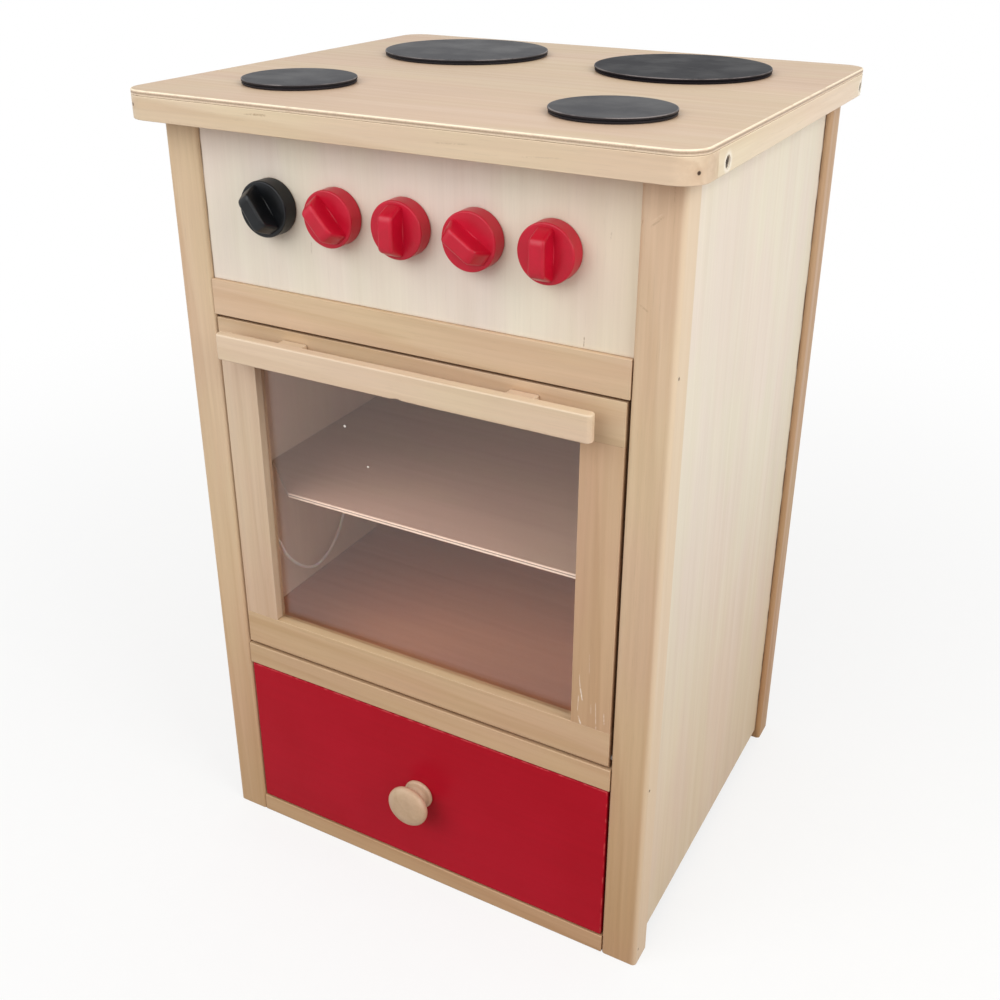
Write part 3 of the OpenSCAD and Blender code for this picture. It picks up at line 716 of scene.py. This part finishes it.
def control_panel_marks(tree, colour, point):
    """A short crack by the right end and a faint one under the second knob. The panel turns darker
    and yellower towards its right end, and a painted shadow line runs along the left post."""
    lines = [
        (125.2, 474.7, 125.4, 481.2, 0.7, 0.9), (-71.5, 503, -71.0, 511, 1.2, 0.3),
        (139.5, 541, 140.0, 546, 1.0, 0.25),
    ]
    # Darker and yellower towards the right end
    towards_right_end = rise(tree, part_of(tree, point, X), 60 * MM, 165 * MM)
    colour = tint(tree, colour, mix(tree, towards_right_end, WHITE, (0.92, 0.87, 0.8, 1)))
    post_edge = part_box("front_left_post")[1].x
    # Painted shadow of the gap at the left post
    colour = gap_shadow_line(tree, colour, point, X, post_edge, 1.1 * MM)
    return strokes(tree, colour, point, lines, srgb(150, 124, 98))


NAIL_HOLES = [from_front(195.2, -15.5, 588.7), from_front(-189.6, -20.5, 591.5)]


def front_rail_marks(tree, colour, point):
    """Nail holes near both ends and one dark line of grain."""
    for hole in NAIL_HOLES:
        hit = near(tree, point, hole, 2.6 * MM, 0.5)
        colour = mix(tree, times(tree, hit, 0.35), colour, srgb(196, 166, 140))
        hit = near(tree, point, hole, 1.15 * MM)
        colour = mix(tree, hit, colour, srgb(62, 42, 28))
    lines = [
        (-91, 594.1, -79, 594.3, 1.5, 0.55), (-96, 593.6, -90, 594, 1.0, 0.4),
        (40, 590, 62, 591, 1.0, 0.2), (96, 588, 120, 589.5, 1.0, 0.15),
    ]
    return strokes(tree, colour, point, lines, srgb(140, 108, 76))


def sheet(node, axis, tones=PLY, radius=0.3, least=3.0, segments=2, name=None, **more):
    """A plywood board, whose veneers show on its edges."""
    low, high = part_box(node)
    thin = min((X, Y, Z), key=lambda a: high[a] - low[a])
    plies = (thin, low[thin], high[thin])
    name = name or node + "_ply"
    grain = wood(name, tones, axis, lines=0.2, plies=plies, contrast=0.45, **more)
    board(node, grain, radius, least, segments)


post_wood = wood("post_wood", PINE, Z, lines=0.4)
rail_wood = wood("rail_wood", PINE, X, rim_share=0.1)
rear_post_wood = wood("rear_post_wood", REAR_POST, Z, lines=0.4)
marked_post_wood = wood("marked_post_wood", PINE, Z, lines=0.45, marks=right_post_marks)
cleat_wood = wood("cleat_wood", PINE, Y, lines=0.4)

board("front_left_post", post_wood, 0.4, 3)
board("rear_left_post", rear_post_wood, 0.4, 3)
sheet("left_side_panel", Z, LEFT_PLY, marks=side_panel_marks)
board("front_right_post", marked_post_wood, 0.4, 3)
board("rear_right_post", rear_post_wood, 0.4, 3)
sheet("right_side_panel", Z, RIGHT_PLY, marks=side_panel_marks)
sheet("back_panel", Z)
sheet("control_panel", Z, CONTROL_PLY, marks=control_panel_marks)
board("control_panel_cleats", post_wood, 0.5)
for node in ("control_rail", "middle_rail", "bottom_rail"):
    board(node, rail_wood, 0.5, 3)
for node, tones in (("oven_floor", OVEN_PLY), ("oven_ceiling", OVEN_PLY), ("shelf", SHELF_PLY)):
    sheet(node, X, tones, 0.35, 2, veneer=OVEN_VENEER)
for node in ("floor_cleats", "shelf_cleats", "ceiling_cleats", "drawer_runners"):
    board(node, cleat_wood, 0.5)

# Worktop


def screw_marks(tree, colour, point):
    """Pale bruised rings round the screws in the worktop's side rails."""
    low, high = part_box("top_rail_screws")
    head = high.z - low.z
    for x in (low.x, high.x):
        for y in (low.y + head / 2, high.y - head / 2):
            ring = near(tree, point, (x, y, (low.z + high.z) / 2), head * 0.75, 0.35)
            colour = mix(tree, times(tree, ring, 0.8), colour, srgb(252, 244, 228))
    return colour


top_side_wood = wood("top_side_wood", TOP_SIDE, Y, lines=0.4, marks=screw_marks)
front_rail_wood = wood("front_rail_wood", TOP_RAIL, X, lines=0.6, marks=front_rail_marks)
board("top_front_rail", front_rail_wood, 0.5, 1)
board("top_rear_rail", wood("top_rail_wood", TOP_RAIL, X), 0.5, 1)
board("top_left_rail", top_side_wood, 0.5, 1)
board("top_right_rail", top_side_wood, 0.5, 1)
# The top sheet's rounded edges turn almost wholly to a painted highlight.
sheet("top_sheet", X, TOP_PLY, 0.8, 1, 3, name="top_ply", rim=EDGE_HIGHLIGHT, rim_share=0.9)
board("top_fixing_blocks", post_wood, 0.5)

# Door

REBATE_DEPTH = 4 * MM  # into each board
PANE_GRIP = 0.8 * MM  # how far the pane stays behind the frame, at the least


def rebate(bm):
    """The door's frame cut back behind the pane, so that its back lip stays out of sight."""
    pane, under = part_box("window_pane"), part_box("door_bottom_rail")[1]
    beyond = under.y + 2 * MM  # behind the frame
    low = Vector((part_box("door_left_stile")[1].x, pane[1].y, under.z))
    high = Vector((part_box("door_right_stile")[0].x, beyond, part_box("door_top_rail")[0].z))
    reach = min(low.z - pane[0].z - PANE_GRIP, REBATE_DEPTH)
    size = high - low + Vector((2 * reach, 0, 2 * reach))
    return cut_away(bm, block(size, (low + high) / 2))


door_rail_wood = wood("door_rail_wood", PINE, X, rim_share=0.1)
door_stile_wood = wood("door_stile_wood", DOOR_STILE, Z, lines=0.4)
marked_stile_wood = wood(
    "marked_stile_wood", MARKED_STILE, Z, lines=0.4, marks=right_stile_marks
)
for node, grain in (
    ("door_top_rail", door_rail_wood), ("door_bottom_rail", door_rail_wood),
    ("door_left_stile", door_stile_wood), ("door_right_stile", marked_stile_wood),
):
    board(node, grain, 0.4, 3, cut=rebate)
board("door_dowels", door_stile_wood, 0.2, 20)

# Drawer


def red_lacquer():
    """Brushed lacquer on a board: faint strokes, a little orange peel, worn edges."""
    material, tree = new_material("red_lacquer")
    _, moved, _ = place_of(tree)
    brushed = cloud(tree, stretch(tree, moved, X, 0.03), 260, 4, 0.6)
    peel = cloud(tree, moved, 520, 2)
    patches = cloud(tree, moved, 9, 3)
    colour = mix(tree, spread(tree, patches), srgb(176, 16, 36), srgb(184, 20, 42))
    colour = shade(tree, colour, spread(tree, brushed, 0.975, 1.02))
    colour = wear_and_highlight_edges(tree, colour, moved, srgb(214, 92, 92), 0.55, 140, 0.45, 0.62)
    height = calc(tree, "ADD", times(tree, peel, 0.5), brushed)
    finish_material(
        tree, Base_Color=colour, Roughness=spread(tree, peel, 0.36, 0.48),
        Specular_IOR_Level=0.1, Normal=bump(tree, height, 0.2, 0.06 * MM),
    )
    return material


board("drawer_front", red_lacquer(), 0.8, 3)
for node, axis in (
    ("drawer_left_side", Y), ("drawer_right_side", Y), ("drawer_back", X), ("drawer_bottom", X),
):
    sheet(node, axis, radius=0.5, least=2)


def drawer_knob():
    """A mushroom knob on a foot with a small step."""
    low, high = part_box("drawer_knob")
    radius, length = (high.x - low.x) / 2 / MM, (high.y - low.y) / MM
    profile = [
        (0, 0), (12, 0), (12, 2.2), (11.2, 3.2), (8.6, 4.0), (7.4, 5.6), (7.0, 7.6),
        (7.6, 9.6), (10, 11.2), (radius - 2.6, length - 8.6), (radius - 0.6, length - 7.2),
        (radius, length - 5.6), (radius - 0.2, length - 3.8), (radius - 1.4, length - 2.2),
        (radius - 4, length - 1.0), (radius - 8, length - 0.3), (0, length),
    ]
    bm = lathe(in_metres(rounded(profile, 1.2, 3)), 96)
    matrix = Matrix.Translation(on_face("drawer_knob", (0, 1, 0))) @ Z_TO_FRONT
    grain = wood("turned_wood", TURNED, Y, lines=0.45, gloss=0.38)
    seat(mesh_piece("turned_drawer_knob", bm, grain, matrix, 50), "drawer_knob")


drawer_knob()

# Cooking plates


def plate_paint(name, dark, light, specular):
    """Dark grey paint with dust and fine scratches, rubbed pale along the rim."""
    material, tree = new_material(name)
    _, moved, normal = place_of(tree)
    speckle = cloud(tree, moved, 700, 4, 0.7)
    clouds = cloud(tree, moved, 26, 4)
    scuffs = rise(tree, cloud(tree, stretch(tree, moved, X, 0.12), 330, 3), 0.62, 0.72)
    up = part_of(tree, normal, Z)
    colour = mix(tree, spread(tree, clouds), dark, light)
    colour = shade(tree, colour, spread(tree, speckle, 0.9, 1.12))
    colour = mix(tree, times(tree, scuffs, 0.14), colour, srgb(120, 118, 116))
    # Painted shade: faces that do not face up, the side and the underside, are darker than the
    # top.
    colour = mix(tree, rise(tree, up, 0.5, 0.2), colour, srgb(28, 24, 28))
    colour = wear_and_highlight_edges(tree, colour, moved, srgb(150, 142, 140), 0.6, 55, 0.35, 0.6, 4, 0.25)
    finish_material(
        tree, Base_Color=colour, Roughness=spread(tree, clouds, 0.42, 0.58),
        Specular_IOR_Level=specular, Normal=bump(tree, speckle, 0.2, 0.1 * MM),
    )
    return material


def cooking_plate(node, paint):
    """A turned disc with a saw groove round its side and a rubbed upper rim."""
    low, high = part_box(node)
    radius, height = (high.x - low.x) / 2 / MM, (high.z - low.z) / MM
    bm = lathe(in_metres([
        (0, 0), (radius - 1.2, 0), (radius - 0.4, 0.5), (radius - 0.4, 1.5),
        (radius - 1.4, 1.7), (radius - 1.4, 2.1), (radius - 0.1, 2.3),
        (radius, height - 0.55), (radius - 0.2, height - 0.15), (radius - 0.7, height),
        (radius - 3, height), (radius * 0.6, height), (0, height),
    ]), 144)
    layer = bm.faces.layers.float.new("edge")
    for face in bm.faces:
        place = face.calc_center_median() / MM
        if place.z > height - 0.5 and place.xy.length > radius - 0.9:
            face[layer] = 1.0
    matrix = Matrix.Translation(on_face(node, (0, 0, -1)))
    seat(mesh_piece("turned_" + node, bm, paint, matrix, 30), node)


paint = plate_paint("plate_paint", srgb(34, 34, 38), srgb(50, 50, 54), 0.2)
dark_paint = plate_paint("dark_plate_paint", srgb(24, 24, 28), srgb(38, 38, 42), 0.06)
for node in ("front_left_plate", "front_right_plate", "rear_left_plate"):
    cooking_plate(node, paint)
cooking_plate("rear_right_plate", dark_paint)

# Control knobs


def gloss_plastic(name, light, dark, specular):
    material, tree = new_material(name)
    _, moved, _ = place_of(tree)
    haze = cloud(tree, moved, 70, 3)
    grain = cloud(tree, moved, 1600, 2)
    colour = mix(tree, spread(tree, haze), dark, light)
    # Painted highlight: a faint lighter ring on the disc rims and the grip tops.
    colour = wear_and_highlight_edges(tree, colour, moved, scaled(light, 1.5, 0.03), 0.04, 160, 0.4, 0.6)
    finish_material(
        tree, Base_Color=colour, Roughness=spread(tree, haze, 0.3, 0.42),
        Specular_IOR_Level=specular, Normal=bump(tree, grain, 0.12, 0.05 * MM),
    )
    return material


KNOB_TURNS = [34, 41, 0, 56, 0]  # degrees from upright, to the left at the top
KNOB_DISC = 11.5 * MM
KNOB_GRIP_HALF = 5.25 * MM
KNOB_GRIP_HEIGHT = 12.5 * MM
KNOB_GRIP_MARGIN = 2.5 * MM  # between the grip's foot and the disc's edge
KNOB_GRIP_SLOPE = 5.5 * MM
KNOB_SHAFT_RADIUS = 5.0 * MM
KNOB_BACK = 0.4 * MM  # gap between a knob and the panel
PANEL_THICKNESS = 5.0 * MM
COLLAR = (6.5 * MM, 2.0 * MM)  # radius and thickness


def grip_block(radius, top):
    """The grip in rings: sloping ends, a rounded top, and a short fillet along the
    middle of its foot."""
    foot, height = radius - KNOB_GRIP_MARGIN, top - KNOB_DISC
    rounding, corner = 2.0 * MM, 2.2 * MM
    levels = [(-1.0 * MM, 0.0, 0.6), (0.0, 0.0, 0.6), (0.12 * MM, 0.0, 0.3), (0.4 * MM, 0.0, 0.08)]
    levels += [(height * k / 8, 0.0, 0.0) for k in range(1, 7)]
    for k in range(7):
        angle = math.pi / 2 * k / 6
        inset = rounding * (1 - math.cos(angle))
        levels.append((height - rounding * (1 - math.sin(angle)), inset, 0.0))
    bm = bmesh.new()
    rings = []
    for z, inset, flare in levels:
        half_width = KNOB_GRIP_HALF - inset
        slope = KNOB_GRIP_SLOPE * (max(z, 0) / height) ** 1.35
        half_length = foot - slope - 1.6 * inset
        ring = []
        for quarter, (sx, sy) in enumerate(((1, 1), (-1, 1), (-1, -1), (1, -1))):
            for k in range(7):
                angle = math.pi / 2 * (quarter + k / 6)
                x = sx * (half_width - corner) + corner * math.cos(angle)
                y = sy * (half_length - corner) + corner * math.sin(angle)
                ring.append(bm.verts.new((x, y, KNOB_DISC + z)))
            if sx * sy > 0:
                continue  # the next points are on an end, not on a side
            for k in range(1, 12):
                y = sy * (half_length - corner) * (1 - k / 6)
                middle = max(0.0, 1 - (abs(y) / (0.45 * foot)) ** 2)
                x = sx * (half_width + flare * MM * middle)
                ring.append(bm.verts.new((x, y, KNOB_DISC + z)))
        rings.append(ring)
    skin(bm, rings)
    return bm


def control_knob(node, turn, material):
    """A disc with a grip across it, and behind the panel a shaft with a collar."""
    low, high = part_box(node)
    radius = (high.x - low.x) / 2
    top = KNOB_DISC + KNOB_GRIP_HEIGHT
    shaft = 2 * KNOB_BACK + PANEL_THICKNESS
    collar_radius, collar = COLLAR
    rim = [
        (radius - 1.1 * MM * (1 - math.cos(a)), KNOB_DISC - 1.1 * MM * (1 - math.sin(a)))
        for a in (math.pi / 2 * k / 4 for k in range(5))
    ]
    profile = [
        (0, -shaft - collar), (collar_radius - 0.5 * MM, -shaft - collar),
        (collar_radius, -shaft), (KNOB_SHAFT_RADIUS, -shaft), (KNOB_SHAFT_RADIUS, 0),
        (radius - 0.4 * MM, 0), (radius, 0.4 * MM), *rim, (radius * 0.5, KNOB_DISC),
        (0, KNOB_DISC),
    ]
    bm = joined([lathe(profile, 128), grip_block(radius, top)])
    layer = bm.faces.layers.float.new("edge")
    for face in bm.faces:
        place = face.calc_center_median()
        on_rim = place.xy.length > radius - 1 * MM and place.z > KNOB_DISC - 1 * MM
        if on_rim or (place.z > top - 1.2 * MM and abs(face.normal.z) < 0.97):
            face[layer] = 1.0
    face_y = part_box("control_panel")[0].y
    centre = Vector(((low.x + high.x) / 2, face_y - KNOB_BACK, (low.z + high.z) / 2))
    spin = Matrix.Rotation(math.radians(-turn), 4, "Y")
    matrix = Matrix.Translation(centre) @ spin @ Z_TO_FRONT
    piece = mesh_piece("moulded_" + node, bm, material, matrix, 32)
    even_normals(piece)
    seat(piece, node)


black_plastic = gloss_plastic("black_plastic", srgb(18, 20, 24), srgb(8, 9, 11), 0.3)
red_plastic = gloss_plastic("red_plastic", srgb(194, 6, 44), srgb(182, 4, 36), 0.4)
for number, turn in enumerate(KNOB_TURNS, 1):
    control_knob(f"knob_{number}", turn, black_plastic if number == 1 else red_plastic)

# Handle

handle_wood = wood("handle_wood", HANDLE, X, lines=0.35, gloss=0.4)
DENT = from_front(6, -20, 424)  # a bruise on the bar's lower front edge


def handle_bar():
    """The flat bar with rounded edges, and one bruise from use."""
    low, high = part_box("handle_bar")
    size, middle = high - low, (low + high) / 2
    bm = block(size, middle)
    upright = [e for e in bm.edges if abs(e.verts[0].co.z - e.verts[1].co.z) > size.z / 2]
    bmesh.ops.bevel(bm, geom=upright, offset=3.4 * MM, segments=6, profile=0.5, affect="EDGES")
    soften(bm, 1.1 * MM, 0.2 * MM, 3)
    cuts = [e for e in bm.edges if abs(e.verts[0].co.x - e.verts[1].co.x) > size.x / 2]
    bmesh.ops.subdivide_edges(bm, edges=cuts, cuts=140, use_grid_fill=True)
    for vert in bm.verts:
        away = vert.co - DENT
        reach = math.exp(-(away.x / (2.6 * MM)) ** 2 - (away.z / (2.2 * MM)) ** 2)
        vert.co.z += 0.6 * MM * reach
        vert.co.y += 0.5 * MM * reach * (vert.co.y < middle.y)
        vert.co.z += 0.12 * MM * noise.noise(vert.co * 40) * (abs(away.z) < size.z)
        vert.co.z = min(max(vert.co.z, low.z), high.z)
    piece = mesh_piece("sanded_handle_bar", bm, handle_wood, angle=40)
    even_normals(piece)
    seat(piece, "handle_bar")


handle_bar()
board("handle_standoffs", handle_wood, 0.8, 3)

# Small metal


def steel(name, light, dark, roughness=0.34, metal=1.0):
    material, tree = new_material(name)
    _, moved, _ = place_of(tree)
    tarnish = cloud(tree, moved, 300, 4, 0.6)
    fine = cloud(tree, moved, 3000, 2)
    colour = mix(tree, spread(tree, tarnish), dark, light)
    finish_material(
        tree, Base_Color=colour, Metallic=metal, Normal=bump(tree, fine, 0.1, 0.03 * MM),
        Roughness=spread(tree, tarnish, roughness, roughness + 0.2),
    )
    return material


zinc = steel("zinc", srgb(196, 194, 190), srgb(150, 146, 140))
dull_steel = steel("dull_steel", srgb(132, 122, 112), srgb(74, 64, 56), 0.4, 0.9)
nail_steel = steel("nail_steel", srgb(96, 82, 68), srgb(58, 46, 36), 0.55, 0.7)


SHANK = 2 * MM  # a wood screw's radius
THREAD = (0.28 * MM, 1.8 * MM)  # depth and pitch
PLAIN = 4 * MM  # length without a thread, under the head and at the tip


def facing(outward):
    """Turns Z outward."""
    return Vector(outward).to_track_quat("Z", "Y").to_matrix().to_4x4()


def screw(length, head, cone):
    """A cross-head wood screw along -Z with its head's face at 0."""
    threads = []
    depth, pitch = THREAD
    start = -cone - PLAIN
    count = int((length + start - PLAIN) / pitch)
    for k in range(count):
        z = start - k * pitch
        threads += [(SHANK - depth, z), (SHANK, z - pitch / 2)]
    profile = [
        (0, 0), (head / 2 - 0.2 * MM, 0), (head / 2, -0.2 * MM),
        (SHANK, -cone), (SHANK, start + 0.6 * MM), *threads,
        (SHANK - depth, start - count * pitch), (0, -length),
    ]
    body = lathe(profile, 32)
    for turn in (0, 90):
        arm = block((head * 0.56, head * 0.13, head * 0.44))
        for vert in arm.verts:
            if vert.co.z < 0:
                vert.co.x *= 0.35
        bmesh.ops.rotate(arm, matrix=Matrix.Rotation(math.radians(turn), 3, "Z"), verts=arm.verts)
        body = cut_away(body, arm)
    return body


def wood_screws(name, node, places, cone, length=None, material=zinc):
    """One piece for a node of like screws. Each place is (outward direction, end, turn),
    and end is -1 or 1 for an end of that face of the node's box, and 0 for its middle."""
    low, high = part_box(node)
    head = high.z - low.z
    length = length or high.y - low.y - 0.3 * MM
    shapes = []
    for outward, end, turn in places:
        along = Y if outward[X] else X
        point = on_face(node, outward)
        if end:
            point[along] = low[along] + head / 2 if end < 0 else high[along] - head / 2
        bm = screw(length, head, cone)
        spin = Matrix.Rotation(math.radians(turn), 4, "Z")
        matrix = Matrix.Translation(point) @ facing(outward) @ spin
        bmesh.ops.transform(bm, matrix=matrix, verts=bm.verts)
        shapes.append(bm)
    seat(mesh_piece(name, joined(shapes), material, angle=40), node)


def stay_screw(node, outward):
    """A round-head screw that holds an end of the cord."""
    low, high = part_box(node)
    size = high - low
    length, head = (size.x, size.y) if outward[X] else (size.y, size.x)
    thickness, shank = 2.2 * MM, 3 * MM
    profile = [
        (0, 0), (head * 0.18, -0.02 * MM), (head * 0.36, -0.45 * MM),
        (head * 0.47, -1.1 * MM), (head * 0.5, -1.8 * MM), (head * 0.49, -thickness),
        (shank / 2, -thickness), (shank / 2, -length + 2.5 * MM), (0, -length),
    ]
    bm = cut_away(lathe(profile, 40), block((head * 1.2, head * 0.14, 1.6 * MM)))
    matrix = Matrix.Translation(on_face(node, outward)) @ facing(outward)
    seat(mesh_piece("round_" + node, bm, zinc, matrix, 40), node)


LEFT, RIGHT, REAR = (-1, 0, 0), (1, 0, 0), (0, 1, 0)
wood_screws(
    "worktop_screws", "top_rail_screws",
    [(LEFT, -1, 20), (LEFT, 1, 65), (RIGHT, -1, 20), (RIGHT, 1, 65)],
    2.2 * MM, length=37.5 * MM, material=dull_steel,
)
wood_screws("handle_bolts", "handle_screws", [(REAR, -1, 30), (REAR, 1, 75)], 2 * MM)
stay_screw("stay_wall_screw", RIGHT)
stay_screw("stay_door_screw", REAR)
wood_screws("drawer_knob_bolt", "drawer_knob_screw", [(REAR, 0, 15)], 2.5 * MM)
for node in ("post_nails", "door_hinge_pins", "catch_strike_plate"):
    kept = frame["nodes"][node]
    kept.data.materials.clear()
    kept.data.materials.append(nail_steel if node == "post_nails" else zinc)
    kept["seed"] = 2.0


# Magnetic catch


def off_white(name):
    material, tree = new_material(name)
    _, moved, _ = place_of(tree)
    dust = cloud(tree, moved, 80, 3)
    grain = cloud(tree, moved, 1800, 2)
    colour = mix(tree, spread(tree, dust), srgb(226, 222, 212), srgb(240, 238, 232))
    finish_material(
        tree, Base_Color=colour, Roughness=spread(tree, dust, 0.42, 0.55),
        Normal=bump(tree, grain, 0.15, 0.05 * MM),
    )
    return material


board("catch_magnet", off_white("catch_plastic"), 1.2, 3, 4)


# Window pane


def clear_pane():
    """Clear acrylic with a faint warm tint, a little dust, and lamps shining through."""
    material, tree = new_material("clear_acrylic")
    _, moved, _ = place_of(tree)
    smears = cloud(tree, stretch(tree, moved, X, 0.4), 18, 4, 0.6)
    shader = add(tree, "BsdfPrincipled", {
        "Base Color": (0.94, 0.855, 0.81, 1.0),
        "Roughness": rise(tree, smears, 0.35, 0.75, 0.01, 0.05),
        "IOR": 1.45,
        "Transmission Weight": 1.0,
        "Normal": bump(tree, smears, 0.02, 0.05 * MM),
    })
    through = add(tree, "BsdfTransparent", {"Color": (0.92, 0.88, 0.88, 1.0)})
    shadow = add(tree, "LightPath").outputs["Is Shadow Ray"]
    finish_mixed(tree, shadow, shader, through)
    return material


board("window_pane", clear_pane(), 0.25, 3)


def pale_specks():
    """Two small pale domes on the pane's front."""
    shapes = []
    for x, z, radius in ((-56, 381.2, 1.0), (-37.9, 354, 0.8)):
        profile = [(0, 0), (radius, 0), (radius * 0.8, 0.2), (radius * 0.4, 0.32), (0, 0.36)]
        bm = lathe(in_metres(profile), 16)
        place = Matrix.Translation((x * MM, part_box("window_pane")[0].y, z * MM))
        bmesh.ops.transform(bm, matrix=place @ Z_TO_FRONT, verts=bm.verts)
        shapes.append(bm)
    piece = mesh_piece("pale_specks", joined(shapes), off_white("pale_speck_white"))
    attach(piece, "door")
    piece["seed"] = 4.0


pale_specks()


# Floor, light and background


def seen_directly(tree):
    """1 for camera, mirror and glass rays, which see white, and 0 for those that light."""
    path = add(tree, "LightPath")
    seen = calc(tree, "ADD", path.outputs["Is Camera Ray"], path.outputs["Is Glossy Ray"])
    return calc(tree, "ADD", seen, path.outputs["Is Transmission Ray"], clamp=True)


def stage_material():
    """A pale floor that reads white to the camera and keeps a soft shadow. It turns
    wholly white away from the object, and close by it throws back a warm light."""
    material, tree = new_material("pale_floor")
    seen = seen_directly(tree)
    point = add(tree, "TexCoord").outputs["Object"]
    away = vector_calc(tree, "LENGTH", point, output="Value")
    grain = cloud(tree, point, 40, 3)
    pale = mix(tree, grain, (0.80, 0.79, 0.77, 1), (0.84, 0.83, 0.81, 1))
    lit = mix(tree, rise(tree, away, 0.5, 1.5), (0.22, 0.10, 0.04, 1), (0.60, 0.60, 0.62, 1))
    matt = add(tree, "BsdfDiffuse", {"Color": mix(tree, seen, lit, pale)})
    white = add(tree, "Emission", {"Color": WHITE, "Strength": 1.0})
    share = times(tree, seen, rise(tree, away, 0.3, 1.4, 0.75, 1.0))
    finish_mixed(tree, share, matt, white)
    return material


def make_stage():
    """A floor of 80 m, just under the feet."""
    half = 40.0
    mesh = bpy.data.meshes.new("floor")
    corners = [(-half, -half, 0), (half, -half, 0), (half, half, 0), (-half, half, 0)]
    mesh.from_pydata(corners, [], [(0, 1, 2, 3)])
    floor = link("floor", mesh, stage_material())
    floor.location.z = cad_box[0][2] - 0.1 * MM


def make_world():
    """White to the camera; for lighting, brighter above than at the horizon."""
    world = bpy.data.worlds.new("world")
    world.use_nodes = True
    tree = world.node_tree
    tree.nodes.clear()
    direction = add(tree, "TexCoord").outputs["Generated"]
    level = rise(tree, part_of(tree, direction, Z), -0.1, 1.0, 0.38, 0.76)
    lit, white = (
        add(tree, "Background", {"Color": WHITE, "Strength": strength})
        for strength in (level, 1.0)
    )
    finish_mixed(tree, seen_directly(tree), lit, white, "OutputWorld")
    bpy.context.scene.world = world


def lamp(name, place, target, size, power, colour):
    """A rectangular lamp that shines at a target."""
    data = bpy.data.lights.new(name, "AREA")
    data.shape = "RECTANGLE"
    data.size, data.size_y = size
    data.energy = power
    data.color = colour
    light = bpy.data.objects.new(name, data)
    toward = Vector(target) - Vector(place)
    turned = toward.to_track_quat("-Z", "Y").to_matrix().to_4x4()
    light.matrix_world = Matrix.Translation(place) @ turned
    bpy.context.scene.collection.objects.link(light)


make_stage()
make_world()
lamp("key", (-0.6, -1.7, 1.5), (0, 0, 0.55), (2.2, 1.4), 24, (0.95, 0.98, 1.0))
lamp("side", (1.6, -0.45, 1.35), (0.1, 0, 0.6), (1.2, 1.2), 18, (1.0, 0.99, 0.96))
bpy.context.scene.view_settings.view_transform = "Standard"
